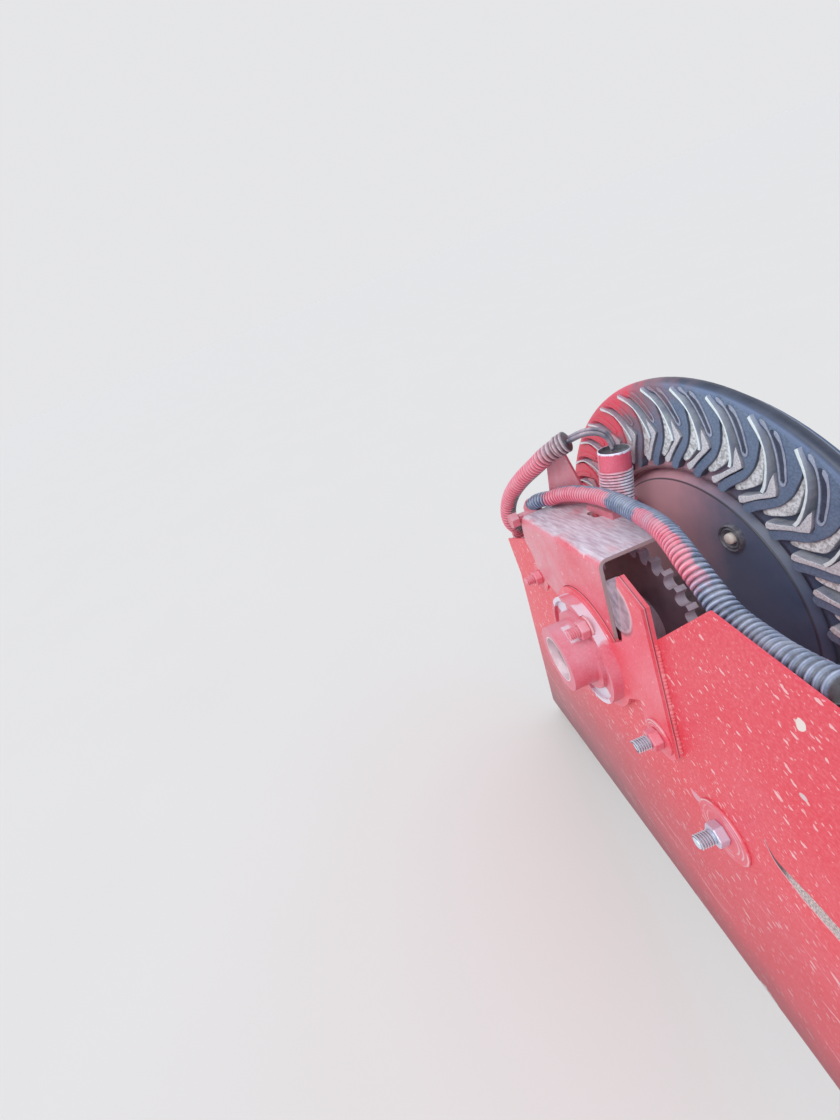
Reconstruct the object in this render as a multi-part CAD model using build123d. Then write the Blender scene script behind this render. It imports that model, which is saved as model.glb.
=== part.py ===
"""Chain-driven lugged wheel in the side frame of a harvesting machine.

A pressed side panel carries a welded bearing plate, a folded bracket and a
cast bearing housing. The shaft runs in the housing and turns a sprocket and a
wheel whose face has 36 hooked rubber lugs. Three corrugated conduits run
along the frame.

Everything is drawn about the shaft: X runs along the panel away from the
frame end, Y out of the panel, Z up, and zero is where the shaft meets the
wheel's face. On export it moves so that zero is the frame-end mount.
"""
from build123d import *
from math import atan2, cos, degrees, pi, radians, sin, sqrt, tan
import os

os.makedirs("parts", exist_ok=True)

# Where things lie, in millimetres
reach = 420.0            # frame end to shaft, along X
shaft_rise = 24.0        # shaft above the frame-end bolts
panel_y = 123.0          # outer face of the side panel, from the wheel's face
mount_inset = 40.0       # frame-end bolts, inside the panel's outer face

# Side panel, a folded sheet
panel_t = 3.0
panel_gap = 3.0          # round the housing's barrel
panel_top = 185.0        # top edge above the shaft
panel_far = 238.0        # far edge beyond the shaft
panel_foot = 374.0       # underside of the foot, straight under the shaft
foot_slope = 0.262       # rise of the foot towards the frame end
foot_roll_r = 36.0       # outside radius where the sheet rolls under
foot_fold_w = 60.0
end_fold_w = 80.0
end_fold_t = 8.0
notch_near = 164.0       # the panel's top edge stops here
notch_foot_x = 111.0
notch_foot_z = 108.0
bay_floor = 46.0         # bottom of the open bay over the housing
bay_near = 86.0
bay_far = 33.0
far_step_z = 60.0        # behind the bracket, where the top edge starts to fall
far_nose_x = 262.0
far_nose_z = 4.0
far_chin_z = -54.0

# Frame-end bolt pattern
end_hole_r = 6.75
end_pitch_y = 44.0
end_pitch_z = 240.0

# Bearing plate on the panel
plate_t = 8.0
plate_ring_r = 74.0
finger_top = 154.0
finger_w = 33.0
finger_drop = 12.0       # the finger's near corner below its top
finger_near_x = 104.5
plate_heel_x = 143.0
plate_heel_z = -20.0
plate_heel_r = 24.0      # round the middle bolt
plate_waist_x = 93.0     # inner corner between heel and ring
plate_waist_z = 9.0

# Folded bracket over the sprocket
bracket_t = 4.0
bracket_top = 146.5      # top of the near end
bracket_len = 197.0
bracket_slope = 0.25     # drop per millimetre of length
bracket_fold_r = 9.0     # outside radius of the fold
bracket_near_x = -35.0
shelf_w = 85.0
shelf_cut_l = 59.0       # cut corner at the shelf's far inner end
shelf_cut_w = 36.0
wall_near_foot_x = -52.0
wall_near_foot_z = 44.0
wall_far_foot_z = 58.0
wall_foot_x = 117.0
wall_foot_z = 17.0
bracket_slot_l = 26.0
bracket_slot_w = 12.0
bracket_slot_x = 72.0
bracket_slot_in = 60.0   # from the wall's face to the slot's middle

# Plate bent up along the cut corner, from its near end and above the shelf there
stop_foot = 10.0
stop_peak = 38.5
stop_peak_h = 65.0
stop_brow = 64.5
stop_brow_h = 53.5

# Bearing housing
flange_r = 66.0
flange_t = 8.0
rim_w = 5.0
rim_t = 4.0
collar_r = 48.0
collar_t = 5.0
boss_r = 39.0
boss_len = 41.0          # from the flange's back face
barrel_r = 40.0
barrel_len = 54.0        # behind the flange
bore_r = 26.0
hole_gap = 0.5
past = 1.0               # how far a cut runs past the face it opens
seat_gap = 2.0           # free space round a nut or washer
bolt_circle_r = 59.0
bolt_turn = 22.0         # degrees from straight up, towards the frame end
lobe_x = -32.0           # cast lobe over the barrel, seen in the open bay
lobe_top = 98.0
lobe_r = 14.5
lobe_t = 16.0
lobe_gap = 4.0           # behind the panel

# Bushings and shaft
fit_gap = 0.05
shaft_r = 17.5
bushing_len = 34.0
bushing_inset = 2.0
outer_recess = 12.0
shaft_recess = 9.0
shaft_out = 2.0          # beyond the end nut
shaft_ring_t = 3.0
shaft_ring_r = 23.0

# Sprocket for a 19.05 mm roller chain
teeth = 30
chain_pitch = 19.05
roller_r = 6.05
tooth_rise = 5.4
sprocket_t = 11.0
sprocket_y = 52.0        # middle of the teeth
sprocket_hub_r = 34.0
housing_gap = 2.0
hub_joint = 12.0         # the sprocket's back face to the wheel's hub

# Wheel
wheel_r = 260.0
lugs = 36
ring_in_r = 164.0
ring_t = 12.0
ring_face = -5.0
ring_edge = 4.0          # cut on the rim's corners
ring_lip = 8.0           # slope on the inner edge
lug_h = 9.0
lug_toe_r = 174.0
lug_elbow_r = 206.0
lug_tip_r = 254.0
lug_elbow_turn = 0.80    # in lug pitches
lug_tip_turn = -0.62
lug_bulge = 8.0
toe_w = 8.0
arm_w = 11.0
disc_t = 4.0
disc_r = 250.0
dish_r = 152.0
dish_depth = 5.0
wheel_hub_r = 42.0
wheel_hub_back = 34.0
cups = 5
cup_circle_r = 127.0
cup_turn = 21.7
cup_r = 14.0
cup_wall = 3.5
cup_h = 5.0
cup_floor = 1.5
stud_r = 4.5
stud_h = 7.0
end_nut_r = 24.0
end_nut_t = 14.0
end_washer_t = 4.0
end_washer_r = 30.0

# Long bolts through the frame, M12
far_bolt_x = bracket_near_x + bracket_len - 25.0
bolt_r = 6.0
nut_flat = 19.0
nut_h = 10.0
washer_t = 2.5
seat_washer_r = 13.0     # on the housing's flange
frame_bolts = (
    # name, X, Z, stud beyond the seat, seat beyond the panel's face, washer's radius
    ("frame_bolt_near", -194.0, -61.0, 28.0, 0.0, 28.0),
    ("frame_bolt_mid", -122.0, -12.0, 26.0, plate_t, 18.0),
    ("frame_bolt_far", far_bolt_x, 9.0, 25.0, 0.0, 21.0),
)
housing_stud = 24.0

# Conduits
main_d = 20.0
stub_d = 37.0
thin_d = 26.0
wire_d = 8.0
stub_room = 3.0          # round the stub, in the shelf's cut-out
clip_t = 2.0
clip_w = 14.0
clip_gap = 0.3
bend_clip_w = 8.0        # where the hose bends inside its strap
clip_foot = 12.0
near_clip_at = 0.45      # along its run
far_clip_at = 0.55
collar_up = 0.0          # the stub's collar, from the shelf's top
collar_w = 7.0
collar_foot_w = 24.0
collar_foot_h = 8.0
run_share = 0.45         # of a run, used by the bend at each end

pitch_turn = 360.0 / lugs
plate_face = panel_y + plate_t
housing_end = plate_face + boss_len
barrel_end = plate_face - barrel_len
chain_r = chain_pitch / (2 * sin(radians(180.0 / teeth)))
bracket_face = panel_y + bracket_t
bracket_far_x = bracket_near_x + bracket_len
foot_rise = foot_roll_r * sqrt(1 + foot_slope ** 2)


def slab(outline, y_outer, thickness):
    """A plate of the outline, from its outer face inwards."""
    face = make_face(Polyline(*[(x, 0, z) for x, z in outline], close=True))
    return extrude(face, thickness, dir=(0, -1, 0)).moved(Location((0, y_outer, 0)))


def rod(x, z, y0, y1, radius):
    """A round bar along the shaft's direction."""
    bar = Cylinder(radius, y1 - y0, align=(Align.CENTER, Align.CENTER, Align.MIN))
    return bar.rotate(Axis.X, -90).moved(Location((x, y0, z)))


def turned(profile):
    """A body turned about the shaft from (radius, y) corners."""
    face = make_face(Polyline(*[(r, y, 0) for r, y in profile], close=True))
    return revolve(face, Axis.Y, 360)


def polar(radius, turn):
    """X and Z at a turn from straight up, towards the frame end."""
    return -radius * sin(radians(turn)), radius * cos(radians(turn))


def top_of_bracket(x):
    return bracket_top - bracket_slope * (x - bracket_near_x)


def foot_z(x):
    return -panel_foot - foot_slope * x


def strip(section, start, slope, length):
    """A strip of sheet with the section, run along X from start, falling at a slope."""
    along = Vector(1, 0, -slope).normalized()
    plane = Plane(origin=start, x_dir=(0, -1, 0), z_dir=along)
    return extrude(plane * make_face(section), length * sqrt(1 + slope ** 2), dir=along)


def fold(width, depth, radius, thickness, down):
    """An L of sheet: x inwards from the outer face, y from the fold, down or up."""
    half = 1 - sqrt(0.5)
    bend = radius * half
    inner_bend = thickness + (radius - thickness) * half
    side = 1 if down else -1
    return [
        Line((0, side * depth), (0, side * radius)),
        ThreePointArc((0, side * radius), (bend, side * bend), (radius, 0)),
        Line((radius, 0), (width, 0)),
        Line((width, 0), (width, side * thickness)),
        Line((width, side * thickness), (radius, side * thickness)),
        ThreePointArc(
            (radius, side * thickness),
            (inner_bend, side * inner_bend),
            (thickness, side * radius),
        ),
        Line((thickness, side * radius), (thickness, side * depth)),
        Line((thickness, side * depth), (0, side * depth)),
    ]


def make_side_panel():
    outline = [
        (-reach, panel_top),
        (-notch_near, panel_top),
        (-notch_foot_x, notch_foot_z),
        (-bay_near, bay_floor),
        (-bay_far, bay_floor),
        (-bay_far, far_step_z),
        (bracket_far_x, far_step_z),
        (far_nose_x, far_nose_z),
        (panel_far, far_chin_z),
        (panel_far, foot_z(panel_far) + foot_rise),
        (-reach, foot_z(-reach) + foot_rise),
    ]
    panel = slab(outline, panel_y, panel_t)
    run = reach + panel_far
    section = fold(foot_fold_w, 2 * foot_roll_r, foot_roll_r, panel_t, down=False)
    start = (-reach - foot_roll_r, panel_y, foot_z(-reach - foot_roll_r))
    roll = strip(section, start, foot_slope, run + 2 * foot_roll_r)
    ends = Box(run, 4 * foot_fold_w, 4 * panel_foot, align=(Align.MIN, Align.CENTER, Align.CENTER))
    panel += roll & ends.moved(Location((-reach, panel_y, -panel_foot)))
    end_h = panel_top - foot_z(-reach)
    end = Box(end_fold_t, end_fold_w, end_h, align=(Align.MIN, Align.MAX, Align.MAX))
    panel += end.moved(Location((-reach, panel_y, panel_top)))
    panel -= rod(0, 0, panel_y - 2 * panel_t, panel_y + panel_t, barrel_r + panel_gap)
    for y in (-end_pitch_y / 2, end_pitch_y / 2):
        for z in (-end_pitch_z / 2, end_pitch_z / 2):
            hole = Cylinder(end_hole_r, 4 * end_fold_t).rotate(Axis.Y, 90)
            panel -= hole.moved(Location((-reach, panel_y - mount_inset + y, z - shaft_rise)))
    for name, x, z, stud, proud, washer in frame_bolts:
        panel -= rod(x, z, panel_y - 2 * panel_t, panel_y + panel_t, bolt_r + hole_gap)
    for side in (0, 180):
        x, z = polar(bolt_circle_r, bolt_turn + side)
        panel -= rod(x, z, panel_y - 2 * panel_t, panel_y + panel_t, bolt_r + hole_gap)
    return panel


def make_bearing_plate():
    name, bolt_x, bolt_z, stud, proud, washer = frame_bolts[1]
    outline = [
        (-finger_near_x + finger_w, finger_top),
        (-finger_near_x, finger_top - finger_drop),
        (-plate_heel_x, plate_heel_z),
        (bolt_x, bolt_z - plate_heel_r),
        (bolt_x + plate_heel_r, bolt_z),
        (-plate_waist_x, plate_waist_z),
        (-plate_ring_r * 0.6, -plate_ring_r * 0.6),
        (-plate_ring_r * 0.5, plate_ring_r * 0.5),
        (-finger_near_x + finger_w, plate_ring_r),
    ]
    plate = slab(outline, plate_face, plate_t)
    heel = rod(bolt_x, bolt_z, panel_y, plate_face, plate_heel_r)
    edge = slab(
        [
            (-finger_near_x, finger_top),
            (-plate_heel_x, plate_heel_z),
            (bolt_x, bolt_z - 2 * plate_heel_r),
            (bolt_x + 2 * plate_heel_r, bolt_z),
        ],
        plate_face,
        plate_t,
    )
    plate += heel & edge
    plate += rod(0, 0, panel_y, plate_face, plate_ring_r)
    plate -= rod(0, 0, panel_y - past, plate_face + past, barrel_r + hole_gap)
    plate -= rod(bolt_x, bolt_z, panel_y - past, plate_face + past, bolt_r + hole_gap)
    for side in (0, 180):
        x, z = polar(bolt_circle_r, bolt_turn + side)
        plate -= rod(x, z, panel_y - past, plate_face + past, bolt_r + hole_gap)
    return plate


def make_top_bracket():
    x0 = bracket_near_x
    x1 = bracket_far_x
    high = bracket_top + bracket_t
    depth = bracket_top - wall_foot_z + bracket_len * bracket_slope
    section = fold(shelf_w, depth, bracket_fold_r, bracket_t, down=True)
    start_x = x0 - shelf_w
    bracket = strip(section, (start_x, bracket_face, top_of_bracket(start_x)), bracket_slope,
                    bracket_len + 2 * shelf_w)
    side = [
        (x0, high),
        (x1, high),
        (x1, wall_far_foot_z),
        (wall_foot_x, wall_foot_z),
        (wall_near_foot_x, wall_foot_z),
        (wall_near_foot_x, wall_near_foot_z),
    ]
    bracket &= slab(side, bracket_face + past, shelf_w + 2 * past)
    bracket -= rod(0, 0, panel_y - past, bracket_face + past, plate_ring_r + hole_gap)
    name, x, z, stud, proud, washer = frame_bolts[2]
    bracket -= rod(x, z, panel_y - past, bracket_face + past, washer + seat_gap)
    inner_y = bracket_face - shelf_w
    corners = [
        (x1 + past, inner_y - past),
        (x1 - shelf_cut_l, inner_y - past),
        (x1 + past, inner_y + shelf_cut_w),
    ]
    cut = make_face(Polyline(*[(x, y, 0) for x, y in corners], close=True))
    bracket -= extrude(cut, 2 * high, dir=(0, 0, 1))
    slot = SlotOverall(bracket_slot_l, bracket_slot_w)
    slot = extrude(slot, 2 * bracket_t, both=True).rotate(Axis.Y, degrees(atan2(bracket_slope, 1)))
    bracket -= slot.moved(
        Location((bracket_slot_x, bracket_face - bracket_slot_in, top_of_bracket(bracket_slot_x)))
    )
    return bracket + make_stop() - stub_room_cut()


def make_stop():
    """The plate bent up along the shelf's cut corner."""
    near_x = bracket_far_x - shelf_cut_l
    inner_y = bracket_face - shelf_w
    near_z = top_of_bracket(near_x)
    far_z = top_of_bracket(bracket_far_x)
    cut = Vector(shelf_cut_l, shelf_cut_w, 0)
    corners = [
        (stop_foot, near_z - bracket_t),
        (stop_peak, near_z + stop_peak_h),
        (stop_brow, near_z + stop_brow_h),
        (cut.length, far_z + bracket_t),
        (cut.length, far_z - bracket_t / 2),
    ]
    plane = Plane(origin=(near_x, inner_y, 0), x_dir=cut, z_dir=cut.cross(Vector(0, 0, 1)))
    face = plane * make_face(Polyline(*corners, close=True))
    return extrude(face, -bracket_t)


def make_bearing_housing():
    collar_face = plate_face + flange_t
    housing = turned(
        [
            (bore_r, barrel_end),
            (barrel_r, barrel_end),
            (barrel_r, plate_face),
            (flange_r, plate_face),
            (flange_r, collar_face + rim_t),
            (flange_r - rim_w, collar_face + rim_t),
            (flange_r - rim_w, collar_face),
            (collar_r, collar_face),
            (collar_r, collar_face + collar_t),
            (boss_r, collar_face + collar_t),
            (boss_r, housing_end),
            (bore_r, housing_end),
        ]
    )
    for side in (0, 180):
        x, z = polar(bolt_circle_r, bolt_turn + side)
        seat = seat_washer_r + hole_gap
        housing -= rod(x, z, collar_face, collar_face + 2 * collar_t, seat)
        housing -= rod(x, z, plate_face - past, collar_face + past, bolt_r + hole_gap)
    return housing + make_lobe()


def make_lobe():
    """The cast lobe that stands up from the barrel behind the panel."""
    y1 = panel_y - panel_t - lobe_gap
    y0 = y1 - lobe_t
    top = lobe_top - lobe_r
    stem = Box(2 * lobe_r, lobe_t, top, align=(Align.CENTER, Align.MIN, Align.MIN))
    lobe = stem.moved(Location((lobe_x, y0, 0))) + rod(lobe_x, top, y0, y1, lobe_r)
    x, z = polar(bolt_circle_r, bolt_turn)
    lobe -= rod(x, z, y0 - past, y1 + past, nut_flat / sqrt(3) + seat_gap)
    return lobe - rod(0, 0, y0 - past, y1 + past, (barrel_r + bore_r) / 2)


def make_bushing(y0):
    outer = bore_r - fit_gap
    inner = shaft_r + fit_gap
    return turned([(inner, y0), (outer, y0), (outer, y0 + bushing_len), (inner, y0 + bushing_len)])


def hexagon(x, z, y0, height, flat):
    """A hexagon nut or head standing out of a face."""
    outline = [polar(flat / sqrt(3), 60 * k) for k in range(6)]
    return slab([(x + a, z + b) for a, b in outline], y0 + height, height)


def make_bolt(x, z, seat, stud, grip, washer):
    """Head behind, washer, nut and a long stud in front."""
    bolt = rod(x, z, seat, seat + washer_t, washer)
    bolt += hexagon(x, z, seat + washer_t, nut_h, nut_flat)
    bolt += rod(x, z, seat - grip, seat + stud, bolt_r)
    bolt += hexagon(x, z, seat - grip - nut_h, nut_h, nut_flat)
    return bolt


def make_shaft():
    start = -wheel_hub_back - end_washer_t - end_nut_t - shaft_out
    return rod(0, 0, start, housing_end - shaft_recess, shaft_r)


def make_shaft_ring():
    y0 = housing_end - outer_recess + fit_gap
    inner = shaft_r + fit_gap
    y1 = y0 + shaft_ring_t
    return turned([(inner, y0), (shaft_ring_r, y0), (shaft_ring_r, y1), (inner, y1)])


def make_sprocket():
    tip_r = chain_r + tooth_rise
    y0 = sprocket_y - sprocket_t / 2
    y1 = sprocket_y + sprocket_t / 2
    wheel = rod(0, 0, y0, y1, tip_r)
    gap = rod(0, chain_r, y0 - past, y1 + past, roller_r)
    mouth = roller_r + tooth_rise / 2
    gap += slab(
        [
            (-roller_r, chain_r),
            (roller_r, chain_r),
            (mouth, chain_r + 2 * tooth_rise),
            (-mouth, chain_r + 2 * tooth_rise),
        ],
        y1 + past,
        sprocket_t + 2 * past,
    )
    wheel -= [gap.rotate(Axis.Y, 360.0 * k / teeth) for k in range(teeth)]
    hub_end = barrel_end - housing_gap
    wheel += rod(0, 0, wheel_front(), hub_end, sprocket_hub_r)
    wheel -= rod(0, 0, wheel_front() - past, hub_end + past, shaft_r + fit_gap)
    return wheel


def wheel_front():
    """Where the wheel's hub meets the sprocket's hub."""
    return sprocket_y - sprocket_t / 2 - hub_joint


def make_wheel_hub():
    hub = turned(
        [
            (shaft_r + fit_gap, -wheel_hub_back),
            (wheel_hub_r, -wheel_hub_back),
            (wheel_hub_r, -dish_depth - disc_t),
            (sprocket_hub_r, -dish_depth - disc_t),
            (sprocket_hub_r, wheel_front()),
            (shaft_r + fit_gap, wheel_front()),
        ]
    )
    return hub


def make_wheel_disc():
    front = -dish_depth
    back = front - disc_t
    ring_back = ring_face - ring_t
    return turned(
        [
            (sprocket_hub_r + fit_gap, back),
            (dish_r - disc_t / 2, back),
            (dish_r + 2 * dish_depth - disc_t / 2, ring_back - disc_t),
            (disc_r, ring_back - disc_t),
            (disc_r, ring_back),
            (dish_r + 2 * dish_depth, ring_back),
            (dish_r, front),
            (sprocket_hub_r + fit_gap, front),
        ]
    )


def lug_outline():
    """Toe and curved arm of one lug, as two faces that share the elbow."""
    elbow = pitch_turn * lug_elbow_turn
    tip = pitch_turn * lug_tip_turn
    a = Vector(*polar(lug_toe_r, 0))
    b = Vector(*polar(lug_elbow_r, elbow))
    c = Vector(*polar(lug_tip_r, tip))
    toe = (b - a).normalized()
    side = Vector(-toe.Y, toe.X) * (toe_w / 2)
    toe_pts = [a + side, b + side + toe * toe_w / 3, b - side + toe * toe_w / 3, a - side]
    arm = (c - b).normalized()
    out = Vector(-arm.Y, arm.X)
    if out.dot(b - a) < 0:
        out = out * -1
    mid = (b + c) * 0.5 + out * lug_bulge
    half = out * (arm_w / 2)
    arm_pts = [b + half, mid + half, c + half, c - half, mid - half, b - half]
    return toe_pts, arm_pts


def make_lug_ring():
    ring_back = ring_face - ring_t
    ring = turned(
        [
            (ring_in_r + ring_lip, ring_back),
            (wheel_r - ring_edge, ring_back),
            (wheel_r, ring_back + ring_edge),
            (wheel_r, ring_face - ring_edge),
            (wheel_r - ring_edge, ring_face),
            (ring_in_r, ring_face),
        ]
    )
    toe_pts, arm_pts = lug_outline()
    toe = slab([(p.X, p.Y) for p in toe_pts], ring_face + lug_h, lug_h + 1)
    p = [(v.X, 0, v.Y) for v in arm_pts]
    edges = [
        ThreePointArc(p[0], p[1], p[2]),
        Line(p[2], p[3]),
        ThreePointArc(p[3], p[4], p[5]),
        Line(p[5], p[0]),
    ]
    face = make_face(edges)
    arm = extrude(face, lug_h + 1, dir=(0, -1, 0)).moved(Location((0, ring_face + lug_h, 0)))
    lug = toe + arm
    return ring + [lug.rotate(Axis.Y, -pitch_turn * k) for k in range(lugs)]


def make_wheel_cups():
    pieces = []
    for k in range(cups):
        x, z = polar(cup_circle_r, cup_turn + 360.0 * k / cups)
        y0 = -dish_depth
        cup = rod(x, z, y0, y0 + cup_h, cup_r)
        cup -= rod(x, z, y0 + cup_floor, y0 + cup_h + past, cup_r - cup_wall)
        cup += rod(x, z, y0, y0 + stud_h, stud_r)
        pieces.append(cup)
    return Compound(children=pieces)


def make_end_washer():
    y1 = -wheel_hub_back
    inner = shaft_r + fit_gap
    y0 = y1 - end_washer_t
    return turned([(inner, y0), (end_washer_r, y0), (end_washer_r, y1), (inner, y1)])


def make_end_nut():
    y1 = -wheel_hub_back - end_washer_t
    nut = hexagon(0, 0, y1 - end_nut_t, end_nut_t, 2 * end_nut_r)
    return nut - rod(0, 0, y1 - end_nut_t - past, y1 + past, shaft_r + fit_gap)


def bend_radii(points):
    """Each corner's arc, as large as its two runs allow."""
    radii = []
    for a, b, c in zip(points, points[1:], points[2:]):
        run_in = Vector(*b) - Vector(*a)
        run_out = Vector(*c) - Vector(*b)
        half_turn = radians(run_in.get_angle(run_out)) / 2
        radii.append(run_share * min(run_in.length, run_out.length) / tan(half_turn))
    return radii


def hose(name, points, diameter):
    """A round hose along straight runs joined by arcs."""
    radii = bend_radii(points)
    print(name, "bend radii", [round(r) for r in radii])
    path = FilletPolyline(*points, radius=radii)
    start = Vector(*points[0])
    section = Plane(origin=start, z_dir=Vector(*points[1]) - start) * Circle(diameter / 2)
    tube = sweep(section, path=path)
    expect = pi * diameter ** 2 / 4 * path.length
    print(name, "volume over section times length", round(tube.volume / expect, 3))
    return tube


def by_far_edge(points):
    """A hose's corners, given from the far edge of the bracket's shelf."""
    far_z = top_of_bracket(bracket_far_x)
    return [(bracket_far_x + x, y, far_z + z) for x, y, z in points]


main_near_route = [
    (-238.0, 107.5, 182.0),
    (-211.0, 107.5, 174.2),
    (-187.7, 102.5, 166.2),
    (-162.2, 103.3, 167.0),
    (-141.3, 100.7, 173.7),
    (-114.4, 97.8, 184.1),
    (-84.0, 87.5, 182.5),
    (-58.0, 80.0, 178.0),
    (-26.0, 70.0, 166.0),
    (47.0, 61.5, 150.0),
    (99.0, 68.5, 137.0),
]
main_far_route = [
    (-31.6, 76.6, 28.95),
    (-15.6, 86.0, 19.05),
    (-2.5, 93.5, 15.25),
    (9.5, 99.5, 7.75),
    (16.5, 102.5, -6.25),
    (19.0, 103.0, -27.25),
]
main_route = main_near_route + by_far_edge(main_far_route)
stub_route = [
    (69.5, 39.8, 106.0),
    (73.5, 36.8, 122.0),
    (82.0, 30.8, 152.0),
    (86.0, 28.5, 182.0),
]
thin_far_route = [
    (-45.0, 66.0, 101.25),
    (-31.0, 84.0, 89.75),
    (-7.0, 94.0, 67.25),
    (18.0, 103.0, 46.25),
    (44.0, 112.5, 19.75),
    (62.0, 117.0, -4.25),
    (74.0, 120.0, -29.25),
    (81.0, 117.5, -54.25),
    (89.0, 106.0, -73.25),
    (95.0, 95.5, -97.25),
]
thin_route = by_far_edge(thin_far_route)
wire_near_route = [
    (86.3, 28.3, 183.2),
    (89.5, 29.0, 195.0),
    (94.0, 38.0, 205.0),
]
wire_far_route = [
    (-63.0, 49.5, 110.75),
    (-56.0, 58.5, 108.25),
    (-47.0, 64.6, 102.55),
]
wire_route = wire_near_route + by_far_edge(wire_far_route)


def stub_room_cut():
    """The stub's cut-out in the shelf."""
    low, high = Vector(*stub_route[0]), Vector(*stub_route[2])
    plane = Plane(origin=(low + high) * 0.5, z_dir=high - low)
    return plane * Cylinder(stub_d / 2 + stub_room, 2 * (high - low).length)


def clip(centre, along, diameter, foot, width):
    """A strap round a hose, with a foot that reaches its seat."""
    inner = diameter / 2 + clip_gap
    plane = Plane(origin=centre, z_dir=along)
    band = plane * Cylinder(inner + clip_t, width)
    return band + foot - plane * Cylinder(inner, 6 * clip_w)


def foot_block(x, y0, y1, z, height):
    """A foot block between two distances from the wheel, centred in X and Z."""
    block = Box(clip_w, y1 - y0, height, align=(Align.CENTER, Align.MIN, Align.CENTER))
    return block.moved(Location((x, y0, z)))


def make_clip_main_near():
    """A saddle under the conduit's near end, welded to the panel's inner face."""
    along = Vector(*main_route[1]) - Vector(*main_route[0])
    centre = Vector(*main_route[0]) + along * near_clip_at
    foot = foot_block(centre.X, centre.Y, panel_y - panel_t, centre.Z - clip_foot / 2, clip_foot)
    saddle = clip(centre, along, main_d, foot, clip_w)
    above = Box(4 * clip_w, 4 * clip_w, 4 * clip_w, align=(Align.CENTER, Align.CENTER, Align.MIN))
    return saddle - above.moved(Location(centre))


def make_clip_main_far():
    """Round the conduit past the shelf's end, with the bolt that holds it there."""
    along = Vector(*main_route[-2]) - Vector(*main_route[-3])
    centre = Vector(*main_route[-3]) + along * far_clip_at
    bolt_x = bracket_far_x + clip_foot / 2
    bolt_z = top_of_bracket(bracket_far_x) - bracket_t
    sleeve = rod(bolt_x, bolt_z, centre.Y, bracket_face + clip_t, clip_foot / 2)
    nut = hexagon(bolt_x, bolt_z, bracket_face + clip_t, nut_h, nut_flat)
    tab = slab(
        [
            (bracket_far_x, bolt_z - clip_foot / 2),
            (bolt_x, bolt_z - clip_foot / 2),
            (bolt_x, bolt_z + clip_foot / 2),
            (bracket_far_x, bolt_z + clip_foot / 2),
        ],
        bracket_face,
        bracket_t,
    )
    return clip(centre, along, main_d, sleeve + nut + tab, bend_clip_w)


def make_clip_stub():
    """A collar on the shelf round the stub's foot."""
    low, high = Vector(*stub_route[1]), Vector(*stub_route[2])
    along = high - low
    centre = low + along.normalized() * collar_up
    x0 = centre.X - stub_d
    x1 = centre.X + stub_d / 2
    inner_y = bracket_face - shelf_w
    foot = slab(
        [
            (x0, top_of_bracket(x0)),
            (x1, top_of_bracket(x1)),
            (x1, top_of_bracket(x1) + collar_foot_h),
            (x0, top_of_bracket(x0) + collar_foot_h),
        ],
        inner_y + collar_foot_w,
        collar_foot_w,
    )
    return clip(centre, along, stub_d, foot, collar_w)


def make_clip_thin():
    """On the panel's inner face, where the conduit drops behind its edge."""
    along = Vector(*thin_route[-1]) - Vector(*thin_route[-2])
    centre = Vector(*thin_route[-1]) - along * 0.35
    low = clip_w / 2
    foot = foot_block(centre.X - low, centre.Y, panel_y - panel_t, centre.Z - low, clip_foot)
    return clip(centre, along, thin_d, foot, clip_w)


def export(name, shape):
    """Move a piece from the shaft's frame to the mount's and write it."""
    if isinstance(shape, ShapeList):
        shape = Compound(children=list(shape))
    away = Location((reach, mount_inset - panel_y, shaft_rise))
    export_step(shape.moved(away), f"parts/{name}.step")


export("side_panel", make_side_panel())
export("bearing_plate", make_bearing_plate())
export("top_bracket", make_top_bracket())
export("bearing_housing", make_bearing_housing())
export("bushing_outer", make_bushing(housing_end - outer_recess - bushing_len))
export("bushing_inner", make_bushing(barrel_end + bushing_inset))
for name, x, z, stud, proud, washer in frame_bolts:
    export(name, make_bolt(x, z, panel_y + proud, stud, panel_t + proud, washer))
for name, side in (("housing_bolt_upper", 0), ("housing_bolt_lower", 180)):
    x, z = polar(bolt_circle_r, bolt_turn + side)
    seat = plate_face + flange_t
    export(name, make_bolt(x, z, seat, housing_stud, flange_t + plate_t + panel_t, seat_washer_r))
export("drive_shaft", make_shaft())
export("shaft_ring", make_shaft_ring())
export("sprocket", make_sprocket())
export("wheel_hub", make_wheel_hub())
export("wheel_disc", make_wheel_disc())
export("lug_ring", make_lug_ring())
export("wheel_cups", make_wheel_cups())
export("end_washer", make_end_washer())
export("end_nut", make_end_nut())
export("conduit_main", hose("conduit_main", main_route, main_d))
export("conduit_stub", hose("conduit_stub", stub_route, stub_d))
export("conduit_thin", hose("conduit_thin", thin_route, thin_d))
export("clip_main_near", make_clip_main_near())
export("clip_main_far", make_clip_main_far())
export("clip_stub", make_clip_stub())
export("clip_thin", make_clip_thin())
export("wire_bundle", hose("wire_bundle", wire_route, wire_d))
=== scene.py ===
from math import cos, pi, radians, sin

import bmesh
import bpy
from mathutils import Matrix, Vector


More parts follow.
